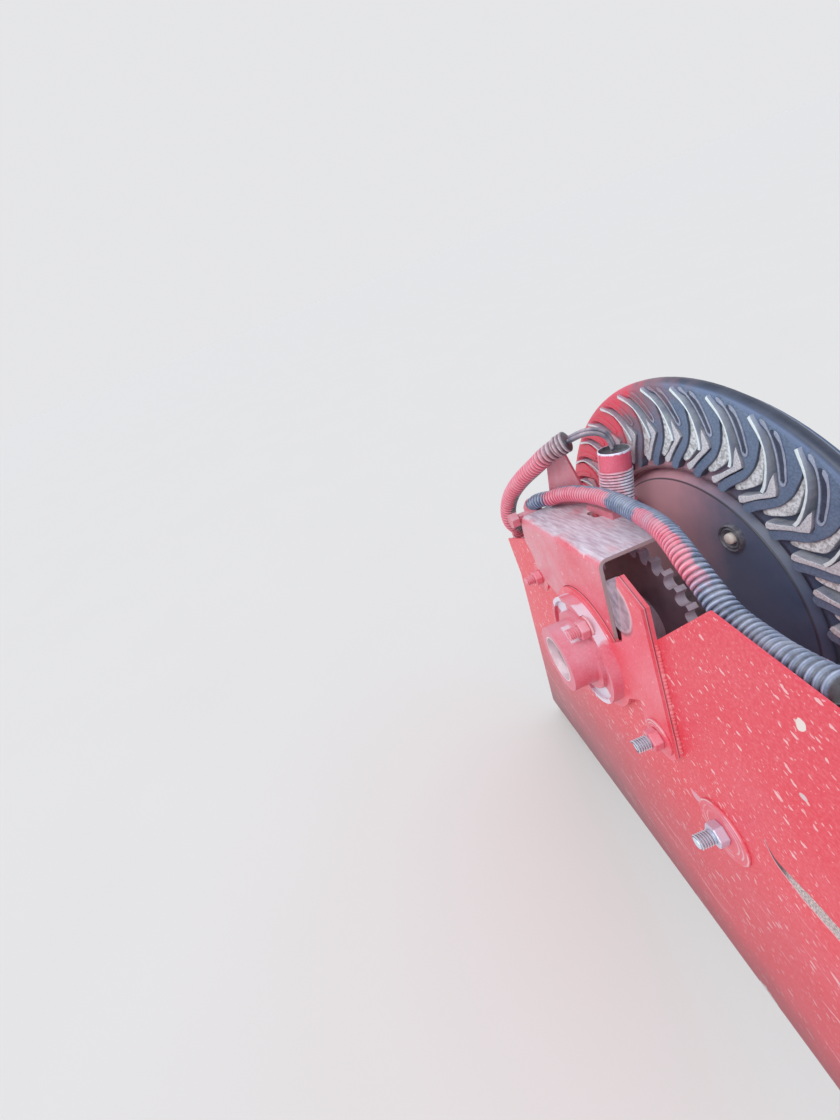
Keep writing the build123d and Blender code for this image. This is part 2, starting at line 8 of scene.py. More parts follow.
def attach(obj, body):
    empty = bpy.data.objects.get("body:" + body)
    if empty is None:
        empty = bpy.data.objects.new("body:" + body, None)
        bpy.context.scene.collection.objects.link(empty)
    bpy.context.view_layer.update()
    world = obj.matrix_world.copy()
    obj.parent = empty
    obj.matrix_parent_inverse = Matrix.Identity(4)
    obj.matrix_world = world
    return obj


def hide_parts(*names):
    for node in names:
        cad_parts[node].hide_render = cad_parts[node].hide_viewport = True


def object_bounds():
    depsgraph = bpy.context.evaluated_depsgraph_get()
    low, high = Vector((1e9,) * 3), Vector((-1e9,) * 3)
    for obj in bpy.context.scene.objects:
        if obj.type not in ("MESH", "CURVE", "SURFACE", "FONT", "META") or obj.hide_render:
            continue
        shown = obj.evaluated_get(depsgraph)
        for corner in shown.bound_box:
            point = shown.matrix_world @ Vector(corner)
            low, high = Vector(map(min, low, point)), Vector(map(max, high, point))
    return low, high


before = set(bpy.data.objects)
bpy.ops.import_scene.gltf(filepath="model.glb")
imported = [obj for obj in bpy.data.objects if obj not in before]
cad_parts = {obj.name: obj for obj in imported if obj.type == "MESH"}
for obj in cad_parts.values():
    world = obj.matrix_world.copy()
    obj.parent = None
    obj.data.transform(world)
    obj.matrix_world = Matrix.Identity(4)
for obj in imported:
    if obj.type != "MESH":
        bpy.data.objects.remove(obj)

cad_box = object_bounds()

# Camera: a wide lens held close over the panel, looking along it and down at
# the housing and the wheel.
eye = Vector((0.0695, 0.2044, 0.4524))
right = Vector((-0.228, -0.921, -0.3158)).normalized()
ahead = Vector((0.8396, -0.0218, -0.5427)).normalized()
up = right.cross(ahead).normalized()
focal_px = 452.0
frame_px = 1120.0
camera_data = bpy.data.cameras.new("camera")
camera_data.sensor_fit = "VERTICAL"
camera_data.sensor_height = 36.0
camera_data.lens = focal_px / frame_px * camera_data.sensor_height
camera_data.clip_start = 0.01
camera = bpy.data.objects.new("camera", camera_data)
bpy.context.scene.collection.objects.link(camera)
camera.matrix_world = Matrix((
    (right.x, up.x, -ahead.x, eye.x),
    (right.y, up.y, -ahead.y, eye.y),
    (right.z, up.z, -ahead.z, eye.z),
    (0, 0, 0, 1),
))
bpy.context.scene.camera = camera


# Corrugated conduits: thin plastic tubes moulded with a round rib every few
# millimetres. They carry the wires and are held by clips at the frame.
def smooth_line(name, points):
    """Points read along the smooth line that the route's points guide."""
    line = bpy.data.curves.new(name + "_line", "CURVE")
    line.dimensions = "3D"
    line.resolution_u = 24
    spline = line.splines.new("NURBS")
    spline.points.add(len(points) - 1)
    for point, place in zip(spline.points, points):
        point.co = (*place, 1.0)
    spline.order_u = 3
    spline.use_endpoint_u = True
    carrier = bpy.data.objects.new(name + "_line", line)
    read = [v.co.copy() for v in bpy.data.meshes.new_from_object(carrier).vertices]
    bpy.data.objects.remove(carrier)
    return read


def next_ring(bm, loop):
    """The open end's edges carried on as a new ring: its edges and its vertices."""
    made = bmesh.ops.extrude_edge_only(bm, edges=loop)["geom"]
    ring = [g for g in made if isinstance(g, bmesh.types.BMVert)]
    held = set(ring)
    return [g for g in made if isinstance(g, bmesh.types.BMEdge) and held.issuperset(g.verts)], ring


def follow_route(name, points, radius_of, step, sides, wall=0.0, hollow=0.0):
    """A closed tube along the smooth line through the route, one ring a step.

    With a wall and a hollow its far end is an open mouth that deep.
    """
    read = smooth_line(name, points)
    reach = [0.0]
    for a, b in zip(read, read[1:]):
        reach.append(reach[-1] + (b - a).length)
    count = max(2, round(reach[-1] / step))
    bm = bmesh.new()
    along = bm.verts.layers.float.new("along")
    crest = bm.verts.layers.float.new("crest")
    facing = bm.verts.layers.float_vector.new("outward")
    ring = bmesh.ops.create_circle(bm, cap_ends=True, radius=1.0, segments=sides)["verts"]
    loop = bm.edges[:]
    before = Matrix.Identity(4)
    turn = Vector((0, 0, 1)).rotation_difference(read[1] - read[0])
    heading = (read[1] - read[0]).normalized()
    k = 0
    for i in range(count + 1):
        here = reach[-1] * i / count
        while k < len(read) - 2 and reach[k + 1] < here:
            k += 1
        centre = read[k].lerp(read[k + 1], (here - reach[k]) / (reach[k + 1] - reach[k]))
        now = (read[k + 1] - read[k]).normalized()
        turn = heading.rotation_difference(now) @ turn
        heading = now
        radius, height = radius_of(here, here / reach[-1])
        place = Matrix.Translation(centre) @ turn.to_matrix().to_4x4() @ Matrix.Scale(radius, 4)
        if i:
            loop, ring = next_ring(bm, loop)
        bmesh.ops.transform(bm, matrix=place @ before.inverted(), verts=ring)
        before = place
        for v in ring:
            v[along] = here / reach[-1]
            v[crest] = height
            v[facing] = (v.co - centre).normalized()
    for sunk in ((0.0, hollow) if hollow else ()):
        loop, ring = next_ring(bm, loop)
        place = Matrix.Translation(centre - heading * sunk) @ turn.to_matrix().to_4x4()
        place = place @ Matrix.Scale(radius - wall, 4)
        bmesh.ops.transform(bm, matrix=place @ before.inverted(), verts=ring)
        before = place
        # Crest 0 inside the mouth, so the material paints it with the grooves' painted shade.
        for v in ring:
            v[crest] = 0.0
    bmesh.ops.contextual_create(bm, geom=loop)
    bmesh.ops.recalc_face_normals(bm, faces=bm.faces)
    return bm


def keep(name, bm, material, body, smooth=True):
    """The finished mesh as a piece that rides on the body."""
    mesh = bpy.data.meshes.new(name)
    bm.to_mesh(mesh)
    bm.free()
    for face in mesh.polygons:
        face.use_smooth = smooth
    mesh.materials.append(material)
    piece = bpy.data.objects.new(name, mesh)
    bpy.context.scene.collection.objects.link(piece)
    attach(piece, body)
    return piece


def ribbed(diameter, pitch, depth):
    """A radius that swells into a round rib every pitch, and its height from 0 to 1."""
    def radius_of(here, share):
        swell = abs(sin(pi * here / pitch)) ** 0.8
        return diameter / 2 - depth * (1 - min(1.0, 1.25 * swell)), swell
    return radius_of


def new_material(name, metallic=0.0):
    """A material with its shader and node tree at hand."""
    material = bpy.data.materials.new(name)
    material.use_nodes = True
    tree = material.node_tree
    shader = tree.nodes["Principled BSDF"]
    shader.inputs["Metallic"].default_value = metallic
    return material, tree, shader


def node(tree, kind, settings=None, **values):
    """A node with its settings and the values or links of its inputs."""
    made = tree.nodes.new("ShaderNode" + kind)
    for key, value in (settings or {}).items():
        setattr(made, key, value)
    for key, value in values.items():
        slot = made.inputs[int(key[1:]) if key[0] == "_" else key]
        if isinstance(value, bpy.types.NodeSocket):
            tree.links.new(value, slot)
        else:
            slot.default_value = value
    return made


def maths(tree, operation, a, b=0.0, c=0.0, clamp=False):
    """One Math node's result."""
    settings = {"operation": operation, "use_clamp": clamp}
    return node(tree, "Math", settings, _0=a, _1=b, _2=c).outputs[0]


def scaled(tree, value, by, plus, clamp=False):
    """A value times a factor, plus a value."""
    return maths(tree, "MULTIPLY_ADD", value, by, plus, clamp)


def minus(tree, a, b):
    """The first value less the second."""
    return maths(tree, "SUBTRACT", a, b)


def times(tree, *factors):
    """The product of two or more masks."""
    product = factors[0]
    for factor in factors[1:]:
        product = maths(tree, "MULTIPLY", product, factor)
    return product


def vector_maths(tree, operation, a, b=(0, 0, 0), c=(0, 0, 0)):
    """One Vector Math node's result."""
    made = node(tree, "VectorMath", {"operation": operation}, _0=a, _1=b, _2=c)
    return made.outputs["Value" if operation in ("LENGTH", "DOT_PRODUCT") else "Vector"]


def opaque(tone):
    """A written colour with its alpha, or a linked one as it is."""
    return (*tone, 1) if isinstance(tone, tuple) else tone


def blend(tree, share, a, b):
    """One colour laid over another by a share."""
    mixed = node(tree, "Mix", {"data_type": "RGBA"}, _0=share, _6=opaque(a), _7=opaque(b))
    return mixed.outputs[2]


def over(tree, color, tone, *shares):
    """A tone laid over the colour by the product of its shares."""
    return blend(tree, times(tree, *shares), color, tone)


def steps(tree, value, *stops):
    """Grey levels along a value, one (place, level) a stop."""
    ramp = node(tree, "ValToRGB", _0=value)
    elements = ramp.color_ramp.elements
    while len(elements) < len(stops):
        elements.new(0.5)
    for element, (place, level) in zip(elements, stops):
        element.position = place
        element.color = (level, level, level, 1)
    return ramp.outputs[0]


def between(tree, value, low, high, soft):
    """1 while the value lies between low and high, with soft ends."""
    rise = scaled(tree, value, 1 / soft, 0.5 - low / soft, clamp=True)
    fall = scaled(tree, value, -1 / soft, 0.5 + high / soft, clamp=True)
    return times(tree, rise, fall)


def attribute(tree, name, output):
    return node(tree, "Attribute", {"attribute_name": name}).outputs[output]


def place_of(tree):
    return node(tree, "TexCoord").outputs["Object"]


def noise(tree, scale, detail=2.0, roughness=0.5, where=None, output=0):
    """Noise on the piece's own coordinates, or on the given ones."""
    where = where or place_of(tree)
    made = node(tree, "TexNoise", Vector=where, Scale=scale, Detail=detail, Roughness=roughness)
    return made.outputs[output]


def uneven_by(tree, value, amount):
    """Noise that sways evenly to both sides of zero."""
    return times(tree, minus(tree, value, 0.5), amount)


def split(tree, vector):
    """A vector's X, Y and Z."""
    return node(tree, "SeparateXYZ", _0=vector).outputs


def normal_of(tree):
    """The face's direction as X, Y and Z."""
    return split(tree, node(tree, "NewGeometry").outputs["Normal"])


def group(name, inputs, outputs):
    """An empty shader node group with its sockets."""
    tree = bpy.data.node_groups.new(name, "ShaderNodeTree")
    for socket, kind, start in inputs:
        made = tree.interface.new_socket(socket, in_out="INPUT", socket_type=kind)
        made.default_value = start
    for socket, kind in outputs:
        tree.interface.new_socket(socket, in_out="OUTPUT", socket_type=kind)
    return tree, tree.nodes.new("NodeGroupInput").outputs, tree.nodes.new("NodeGroupOutput").inputs


def placed(tree, used, **values):
    """A group in a material, with its inputs set."""
    return node(tree, "Group", {"node_tree": used}, **values).outputs


FLOAT, COLOR = "NodeSocketFloat", "NodeSocketColor"

# Field dust: a pale film of soil in soft patches, thicker where a face looks up.
dust_film, given, out = group(
    "dust_film",
    [("Color", COLOR, (0.5, 0.5, 0.5, 1)), ("Dust", COLOR, (0.5, 0.45, 0.42, 1)), ("Amount", FLOAT, 0.3),
     ("Upward", FLOAT, 0.3), ("Scale", FLOAT, 40.0), ("Roughness", FLOAT, 0.5)],
    [("Color", COLOR), ("Roughness", FLOAT)],
)
clouds = noise(dust_film, given["Scale"], 6.0, 0.62)
grains = noise(dust_film, 900.0, 3.0)
upness = times(dust_film, maths(dust_film, "MAXIMUM", normal_of(dust_film)["Z"], 0.0), given["Upward"])
patchy = scaled(dust_film, clouds, 2.4, -0.7)
film = maths(dust_film, "MULTIPLY", patchy, maths(dust_film, "ADD", given["Amount"], upness), clamp=True)
film = maths(dust_film, "MULTIPLY", film, scaled(dust_film, grains, 0.8, 0.6), clamp=True)
dust_film.links.new(blend(dust_film, film, given["Color"], given["Dust"]), out["Color"])
dust_film.links.new(scaled(dust_film, film, 0.4, given["Roughness"]), out["Roughness"])


def finish_with(tree, shader, color, roughness, height, strength, distance=0.0005):
    """Colour, roughness and bump into the material's shader."""
    tree.links.new(color, shader.inputs["Base Color"])
    tree.links.new(roughness, shader.inputs["Roughness"])
    raised = node(tree, "Bump", Height=height, Strength=strength, Distance=distance)
    tree.links.new(raised.outputs[0], shader.inputs["Normal"])


def dusted(tree, color, dust, amount, upward, scale, roughness):
    """The colour and the roughness under a film of dust."""
    film = placed(
        tree, dust_film, Color=opaque(color), Dust=opaque(dust), Amount=amount, Upward=upward,
        Scale=scale, Roughness=roughness)
    return film["Color"], film["Roughness"]


def dusty_finish(name, base, dust, amount, upward, scale, roughness, grain, strength, detail=2.0,
                 metallic=0.0):
    """One even tone under dust, on a slightly uneven surface."""
    material, tree, shader = new_material(name, metallic)
    color, rough = dusted(tree, base, dust, amount, upward, scale, roughness)
    finish_with(tree, shader, color, rough, noise(tree, grain, detail), strength)
    return material


bare_plastic = (0.082, 0.118, 0.205)
deep_shadow = (0.012, 0.013, 0.018)
spray = (0.78, 0.085, 0.15)
spray_thin = (0.858, 0.204, 0.3)
spray_shaded = (0.2184, 0.0102, 0.024)
conduit_dust = (0.62, 0.64, 0.72)


def conduit_material(name, bare, glints, painted, side, reach, gloss, cuff=(2.0, 3.0)):
    """Bare conduit with red overspray where the gun passed, fading to one side, with painted highlights on
    the rib crests and painted shade in the grooves.
    """
    material, tree, shader = new_material(name)
    along = attribute(tree, "along", "Fac")
    crest = attribute(tree, "crest", "Fac")
    toward = vector_maths(tree, "DOT_PRODUCT", attribute(tree, "outward", "Vector"), side)
    fine = noise(tree, 420.0, 3.0)
    blotch = noise(tree, 160.0, 3.0)
    lit = scaled(tree, toward, 0.5, 0.5)
    lit = maths(tree, "ADD", lit, uneven_by(tree, noise(tree, 70.0, 4.0), 0.55))
    reached = maths(tree, "ADD", along, uneven_by(tree, fine, 0.05))
    covered = times(tree, steps(tree, reached, *painted), steps(tree, lit, *reach))
    covered = times(tree, covered, scaled(tree, crest, 0.35, 0.65))
    covered = maths(tree, "MAXIMUM", covered, between(tree, reached, *cuff, 0.01))
    tint = blend(tree, times(tree, fine, 0.6), spray, spray_thin)
    shade = steps(tree, blotch, (0.35, 0.0), (0.65, 1.0))
    color = blend(tree, covered, blend(tree, shade, bare, tuple(1.5 * c for c in bare)), tint)
    # Painted highlight: a glint along the rib crests.
    glint = times(tree, between(tree, crest, 0.95, 1.5, 0.06), steps(tree, blotch, (0.35, 0.25), (0.6, 0.95)))
    glint = times(tree, glint, maths(tree, "LESS_THAN", along, cuff[0]))
    color = blend(tree, glint, color, blend(tree, covered, *glints))
    # Painted shade: the grooves darker than the crests.
    deep = steps(tree, crest, (0.22, 1.0), (0.66, 0.0))
    color = blend(tree, deep, color, blend(tree, covered, deep_shadow, spray_shaded))
    finish_with(tree, shader, *dusted(tree, color, conduit_dust, 0.02, 0.46, 60.0, gloss), fine, 0.2)
    return material


main_route = [
    (0.182, 0.0245, 0.206), (0.209, 0.0245, 0.1982), (0.2323, 0.0195, 0.1902), (0.2578, 0.0203, 0.191),
    (0.2787, 0.0177, 0.1977), (0.3056, 0.0148, 0.2081), (0.336, 0.0045, 0.2065), (0.362, -0.003, 0.202),
    (0.394, -0.013, 0.19), (0.467, -0.0215, 0.174), (0.519, -0.0145, 0.161),
    (0.5504, -0.0064, 0.1502), (0.5664, 0.003, 0.1403), (0.5795, 0.0105, 0.1365),
    (0.5915, 0.0165, 0.129), (0.5985, 0.0195, 0.115), (0.601, 0.02, 0.094),
]
main_paint = [
    (0.0, 0.0), (0.21, 0.0), (0.25, 1.0), (0.37, 1.0), (0.4, 0.7), (0.47, 0.9), (0.485, 0.0), (0.6, 0.0),
    (0.615, 1.0), (0.855, 1.0), (0.875, 0.0),
]
main_rib = ribbed(diameter=0.02, pitch=0.0048, depth=0.002)
bm = follow_route("conduit_main", main_route, main_rib, step=0.0006, sides=24)
main_finish = conduit_material(
    "conduit_grey", bare_plastic, ((0.44, 0.5, 0.68), (0.92, 0.42, 0.51)), main_paint,
    (-0.19, 0.93, -0.33), [(0.34, 0.0), (0.44, 1.0)], 0.26)
piece = keep("conduit_main_ribbed", bm, main_finish, "frame")
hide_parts("conduit_main")

thin_route = [
    (0.537, -0.017, 0.2225), (0.551, 0.001, 0.211), (0.575, 0.011, 0.1885), (0.6, 0.02, 0.1675),
    (0.626, 0.0295, 0.141), (0.644, 0.034, 0.117), (0.656, 0.037, 0.092), (0.663, 0.0345, 0.067),
    (0.671, 0.023, 0.048), (0.677, 0.0125, 0.024),
]
flare_to = 0.055
flare_rib = ribbed(diameter=0.026, pitch=0.0048, depth=0.0022)
thin_rib = ribbed(diameter=0.0236, pitch=0.006, depth=0.0026)


def flared(here, share):
    """Ribs, with three close rings at the open upper end."""
    return (flare_rib if share < flare_to else thin_rib)(here, share)


bm = follow_route("conduit_thin", thin_route, flared, step=0.00075, sides=28)
thin_finish = conduit_material(
    "conduit_sprayed", (0.2, 0.18, 0.19), ((0.62, 0.66, 0.76), (0.92, 0.44, 0.53)),
    [(0.0, 0.1), (0.09, 0.35), (0.16, 1.0), (0.93, 1.0), (1.0, 0.3)], (0.23, 0.92, 0.32),
    [(0.26, 0.0), (0.38, 1.0)], 0.3)
piece = keep("conduit_thin_ribbed", bm, thin_finish, "frame")
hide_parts("conduit_thin")

stub_route = [
    (0.4895, -0.0432, 0.13), (0.4935, -0.0462, 0.146), (0.502, -0.0522, 0.176),
    (0.506, -0.0545, 0.206),
]
stub_rib = ribbed(diameter=0.037, pitch=0.0038, depth=0.0022)
cuff_from = 0.72
cuff_r = 0.0176
cuff_wall = 0.0016
cuff_hollow = 0.004


def stub_radius(here, share):
    """Ribs below, a smooth cuff above."""
    return (cuff_r, 1.0) if share > cuff_from else stub_rib(here, share)


bm = follow_route("conduit_stub", stub_route, stub_radius, 0.00048, 36, wall=cuff_wall, hollow=cuff_hollow)
# The short conduit's pale bare tone is partly painted highlight, like its crest glints.
stub_finish = conduit_material(
    "conduit_cuffed", (0.72, 0.74, 0.88), ((0.92, 0.92, 1.0), (0.96, 0.84, 0.92)),
    [(0.0, 0.5), (0.6, 0.75), (0.72, 1.0), (0.968, 1.0), (0.985, 0.0)], (0.15, 0.9, 0.4),
    [(0.42, 0.0), (0.58, 1.0)], 0.25, cuff=(0.71, 0.97))
piece = keep("conduit_stub_ribbed", bm, stub_finish, "frame")
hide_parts("conduit_stub")

# Wires: four thin plastic-covered wires that cross from the short conduit's
# cuff into the open end of the one beside it.
wire_route = [
    (0.5063, -0.0547, 0.2072), (0.5095, -0.054, 0.219), (0.514, -0.045, 0.229),
    (0.519, -0.0335, 0.232), (0.526, -0.0245, 0.2295), (0.535, -0.0184, 0.2238),
]
wire_shifts = (
    (0.0, 0.0, 0.003), (0.0022, -0.0026, -0.0006), (-0.002, 0.0028, 0.0002), (0.0004, 0.0004, -0.0028),
)
wire_r = 0.0021
wire_finish = dusty_finish(
    "wire_cover", (0.13, 0.15, 0.2), (0.64, 0.5, 0.56), 0.5, 0.4, 90.0, 0.4, 300.0, 0.15)
joined = bmesh.new()
for shift in wire_shifts:
    route = [tuple(a + b for a, b in zip(point, shift)) for point in wire_route]
    strand = follow_route("wire", route, lambda here, share: (wire_r, 1.0), step=0.0016, sides=12)
    part = bpy.data.meshes.new("wire_part")
    strand.to_mesh(part)
    strand.free()
    joined.from_mesh(part)
    bpy.data.meshes.remove(part)
piece = keep("wires", joined, wire_finish, "frame")
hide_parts("wire_bundle")

# Side panel: 3 mm steel sheet, rolled under along its foot and painted red.
# Stones and stalks have left it speckled with bare chips, scratches and dust.
shaft = Vector((0.42, -0.083, 0.024))
shaft_spot = (shaft.x, shaft.z)

# Chips in the paint: ragged flakes at random, slanted and stretched one way.
# Flat sides use a flat pattern, so that as many flakes show there.
chips, given, out = group(
    "chips",
    [("Slant", FLOAT, 1.1), ("Size", FLOAT, 90.0), ("Share", FLOAT, 0.12), ("Stretch", FLOAT, 0.3)],
    [("Mask", FLOAT)],
)
spun = node(
    chips, "VectorRotate", {"rotation_type": "Y_AXIS"}, Vector=place_of(chips),
    Angle=given["Slant"]).outputs[0]
shape = node(chips, "CombineXYZ", X=1.0, Y=given["Stretch"], Z=given["Stretch"]).outputs[0]
wobble = noise(chips, 320.0, output="Color")
shaken = vector_maths(
    chips, "MULTIPLY_ADD", wobble, (0.003, 0.003, 0.003), vector_maths(chips, "MULTIPLY", spun, shape))
parts = split(chips, shaken)
on_face = node(chips, "CombineXYZ", X=parts["X"], Y=parts["Z"]).outputs[0]
flat_on = maths(chips, "GREATER_THAN", maths(chips, "ABSOLUTE", normal_of(chips)["Y"]), 0.7)
masks = []
for dimensions, where, count in (("3D", shaken, 2.0), ("2D", on_face, 1.0)):
    cells = node(chips, "TexVoronoi", {"voronoi_dimensions": dimensions}, Vector=where,
                 Scale=given["Size"]).outputs
    lot = node(chips, "SeparateColor", _0=cells["Color"]).outputs
    chosen = maths(chips, "GREATER_THAN", lot[0], scaled(chips, given["Share"], -count, 1.0))
    wide = scaled(chips, lot[1], 0.2, 0.06)
    inside = maths(chips, "MULTIPLY", minus(chips, wide, cells["Distance"]), 25.0, clamp=True)
    masks.append(times(chips, inside, chosen))
flatter = times(chips, flat_on, minus(chips, masks[1], masks[0]))
chips.links.new(maths(chips, "ADD", masks[0], flatter), out["Mask"])


def away_from(tree, centre, halves=(1, 1)):
    """Distance from a spot on the X-Z plane, in half-widths."""
    away = vector_maths(tree, "SUBTRACT", place_of(tree), (centre[0], 0, centre[1]))
    away = vector_maths(tree, "MULTIPLY", away, (1 / halves[0], 0, 1 / halves[1]))
    return vector_maths(tree, "LENGTH", away)


def patch(tree, centre, halves, ragged=0.5):
    """A ragged oval on the X-Z plane, 1 inside and 0 outside."""
    edge = scaled(tree, noise(tree, 220.0, 4.0), ragged, 1.0 - ragged / 2)
    inside = minus(tree, edge, away_from(tree, centre, halves))
    return maths(tree, "MULTIPLY", inside, 8.0, clamp=True)


def chipped_by(tree, slant, size, share, stretch):
    """The chips of one size."""
    return placed(tree, chips, Slant=slant, Size=size, Share=share, Stretch=stretch)["Mask"]


def painted_steel(name, paint, faded, dust, amount, upward, chipped, extra=None, roughness=0.34):
    """Sprayed red paint: cloudy colour, pale chips and a film of dust."""
    material, tree, shader = new_material(name)
    color = blend(tree, steps(tree, noise(tree, 16.0, 5.0, 0.6), (0.38, 0.0), (0.7, 1.0)), paint, faded)
    mottle = noise(tree, 420.0, 3.0, 0.7)
    color = blend(tree, steps(tree, mottle, (0.5, 0.0), (0.72, 0.34)), color, (0.86, 0.36, 0.4))
    color = blend(tree, steps(tree, mottle, (0.28, 0.3), (0.46, 0.0)), color, (0.5, 0.012, 0.03))
    specks = chipped_by(tree, -1.0, 300.0, chipped * 0.36, 0.6)
    color = over(tree, color, (0.92, 0.5, 0.52), specks, 0.7)
    small = chipped_by(tree, -1.1, 170.0, chipped * 0.26, 0.5)
    large = chipped_by(tree, -1.25, 112.0, chipped * 0.09, 0.5)
    bare = maths(tree, "MAXIMUM", small, large)
    color = over(tree, color, (0.92, 0.6, 0.6), bare, 0.8)
    height = times(tree, bare, -1.0)
    if extra:
        color, height = extra(tree, color, height)
    color, rough = dusted(tree, color, dust, amount, upward, 18.0, roughness)
    height = scaled(tree, noise(tree, 700.0), 0.35, height)
    finish_with(tree, shader, color, rough, height, 0.25, 0.0004)
    return material


def dress(name, material):
    """A carried-over solid with its own finish."""
    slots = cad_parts[name].data.materials
    slots.clear()
    slots.append(material)


foot_slope = 0.262
foot_drop = 0.24
gouge_x = 0.1925         # where the gouge begins
gouge_z = 0.0106         # its height there
gouge_bend_x = 0.178     # beyond this it curves up
gouge_climb_x = 0.16    # and short of this it climbs
gouge_narrow = 0.0008    # its least and most half-widths
gouge_wide = 0.0072
gouge_rim = 0.0016
bare_spots = (
    # centre, half-widths, tone
    ((0.187, 0.178), (0.0032, 0.0056), (0.84, 0.76, 0.7)),
    ((0.176, 0.118), (0.003, 0.0026), (0.7, 0.56, 0.56)),
    ((0.156, -0.262), (0.016, 0.02), (0.5, 0.47, 0.48)),
    ((0.256, -0.04), (0.012, 0.006), (0.74, 0.34, 0.4)),
)


def foot_shade(tree, color, east, over_foot, uneven):
    """The paint darker lower down and towards the far end, and nearly black along the foot: painted shade
    under the rolled foot.
    """
    low = maths(tree, "ADD", times(tree, over_foot, 2.0), uneven)
    low = steps(tree, low, (0.0, 1.0), (0.55, 0.0))
    color = over(tree, color, (0.42, 0.032, 0.052), low, 0.8)
    far_low = times(tree, low, steps(tree, maths(tree, "ADD", east, uneven), (0.22, 0.0), (0.42, 1.0)))
    color = over(tree, color, (0.24, 0.12, 0.14), far_low, 0.85)
    foot = steps(tree, scaled(tree, over_foot, 3.0, uneven), (0.0, 1.0), (0.3, 0.0))
    return over(tree, color, (0.13, 0.03, 0.045), foot, 0.9)


def panel_gouge(tree, east, rise, uneven, outer):
    """A long gouge that curves and widens towards the frame end, and the torn rim under it."""
    bend = maths(tree, "MAXIMUM", minus(tree, east, gouge_bend_x), 0.0)
    path = scaled(tree, times(tree, bend, bend), 60.0, gouge_z)
    rising = maths(tree, "MAXIMUM", minus(tree, gouge_climb_x, east), 0.0)
    path = maths(tree, "ADD", path, times(tree, rising, 0.1))
    path = scaled(tree, uneven, 0.03, path)
    aside = minus(tree, rise, path)
    wide = maths(tree, "MAXIMUM", scaled(tree, east, -0.2, 0.0385), gouge_narrow)
    wide = maths(tree, "MINIMUM", wide, gouge_wide)
    begun = times(tree, maths(tree, "LESS_THAN", east, gouge_x), outer)
    away = maths(tree, "ABSOLUTE", aside)
    gouge = maths(tree, "MULTIPLY", minus(tree, wide, away), 2500.0, clamp=True)
    torn = minus(tree, maths(tree, "ADD", wide, gouge_rim), away)
    torn = maths(tree, "MULTIPLY", torn, 1800.0, clamp=True)
    torn = times(tree, torn, maths(tree, "LESS_THAN", aside, 0.0))
    return times(tree, gouge, begun), times(tree, torn, begun)


def panel_marks(tree, color, height):
    """Scratches low down, a gouge filled with soil, bare spots and painted shade along the foot."""
    where = split(tree, place_of(tree))
    east, rise = where["X"], where["Z"]
    outer = maths(tree, "GREATER_THAN", normal_of(tree)["Y"], 0.2)
    over_foot = maths(tree, "ADD", scaled(tree, east, foot_slope, rise), foot_drop)
    uneven = uneven_by(tree, noise(tree, 22.0, 6.0, 0.65), 0.16)
    color = foot_shade(tree, color, east, over_foot, uneven)
    swirl = noise(tree, 22.0, 6.0, 0.65, output="Color")
    bowed = vector_maths(tree, "MULTIPLY_ADD", swirl, (0.0, 0.0, 0.02), place_of(tree))
    turned = node(tree, "Mapping", Vector=bowed, Rotation=(0, 0.15, 0), Scale=(9, 1, 300))
    lines = steps(tree, noise(tree, 1.0, where=turned.outputs[0]), (0.655, 0.0), (0.675, 1.0))
    streaks = times(tree, lines, steps(tree, over_foot, (0.14, 1.0), (0.3, 0.0)))
    color = over(tree, color, (0.88, 0.52, 0.56), streaks, 0.8)
    gouge, torn = panel_gouge(tree, east, rise, uneven, outer)
    color = over(tree, color, (0.9, 0.5, 0.54), torn, 0.7)
    speckle = steps(tree, noise(tree, 700.0, 4.0), (0.38, 0.0), (0.6, 1.0))
    fill = blend(tree, speckle, (0.22, 0.16, 0.16), (0.72, 0.62, 0.6))
    fill = blend(tree, between(tree, east, 0.172, 0.25, 0.008), fill, (0.05, 0.03, 0.035))
    color = blend(tree, gouge, color, fill)
    for centre, halves, tone in bare_spots:
        color = over(tree, color, tone, patch(tree, centre, halves, 0.9), outer)
    return color, minus(tree, height, scaled(tree, streaks, 0.5, gouge))


panel_red = painted_steel(
    "panel_red", (0.8, 0.055, 0.085), (0.8, 0.085, 0.12), (0.66, 0.26, 0.3), 0.05, 0.08, 0.8, panel_marks)
panel_red.node_tree.nodes["Principled BSDF"].inputs["Specular IOR Level"].default_value = 0.3
dress("side_panel", panel_red)

# Bearing plate: two 4 mm plates welded together and over the panel, with a
# finger that reaches up beside the open bay. A stitched weld runs down its edge.
panel_face = shaft.y + 0.123
plate_t = 0.008
seam_in = 0.0036         # the seam between the two plates, from the panel's face
seam_out = 0.0046
rim_out = 0.0054
cake_spot = (shaft.x - 0.067, shaft.z + 0.115)
cake_halves = (0.0225, 0.028)
soil_dark = (0.22, 0.15, 0.19)
soil_pale = (0.42, 0.31, 0.38)


def soil_tone(tree, lumps):
    """Packed soil in two tones."""
    return blend(tree, steps(tree, lumps, (0.35, 0.0), (0.65, 1.0)), soil_dark, soil_pale)


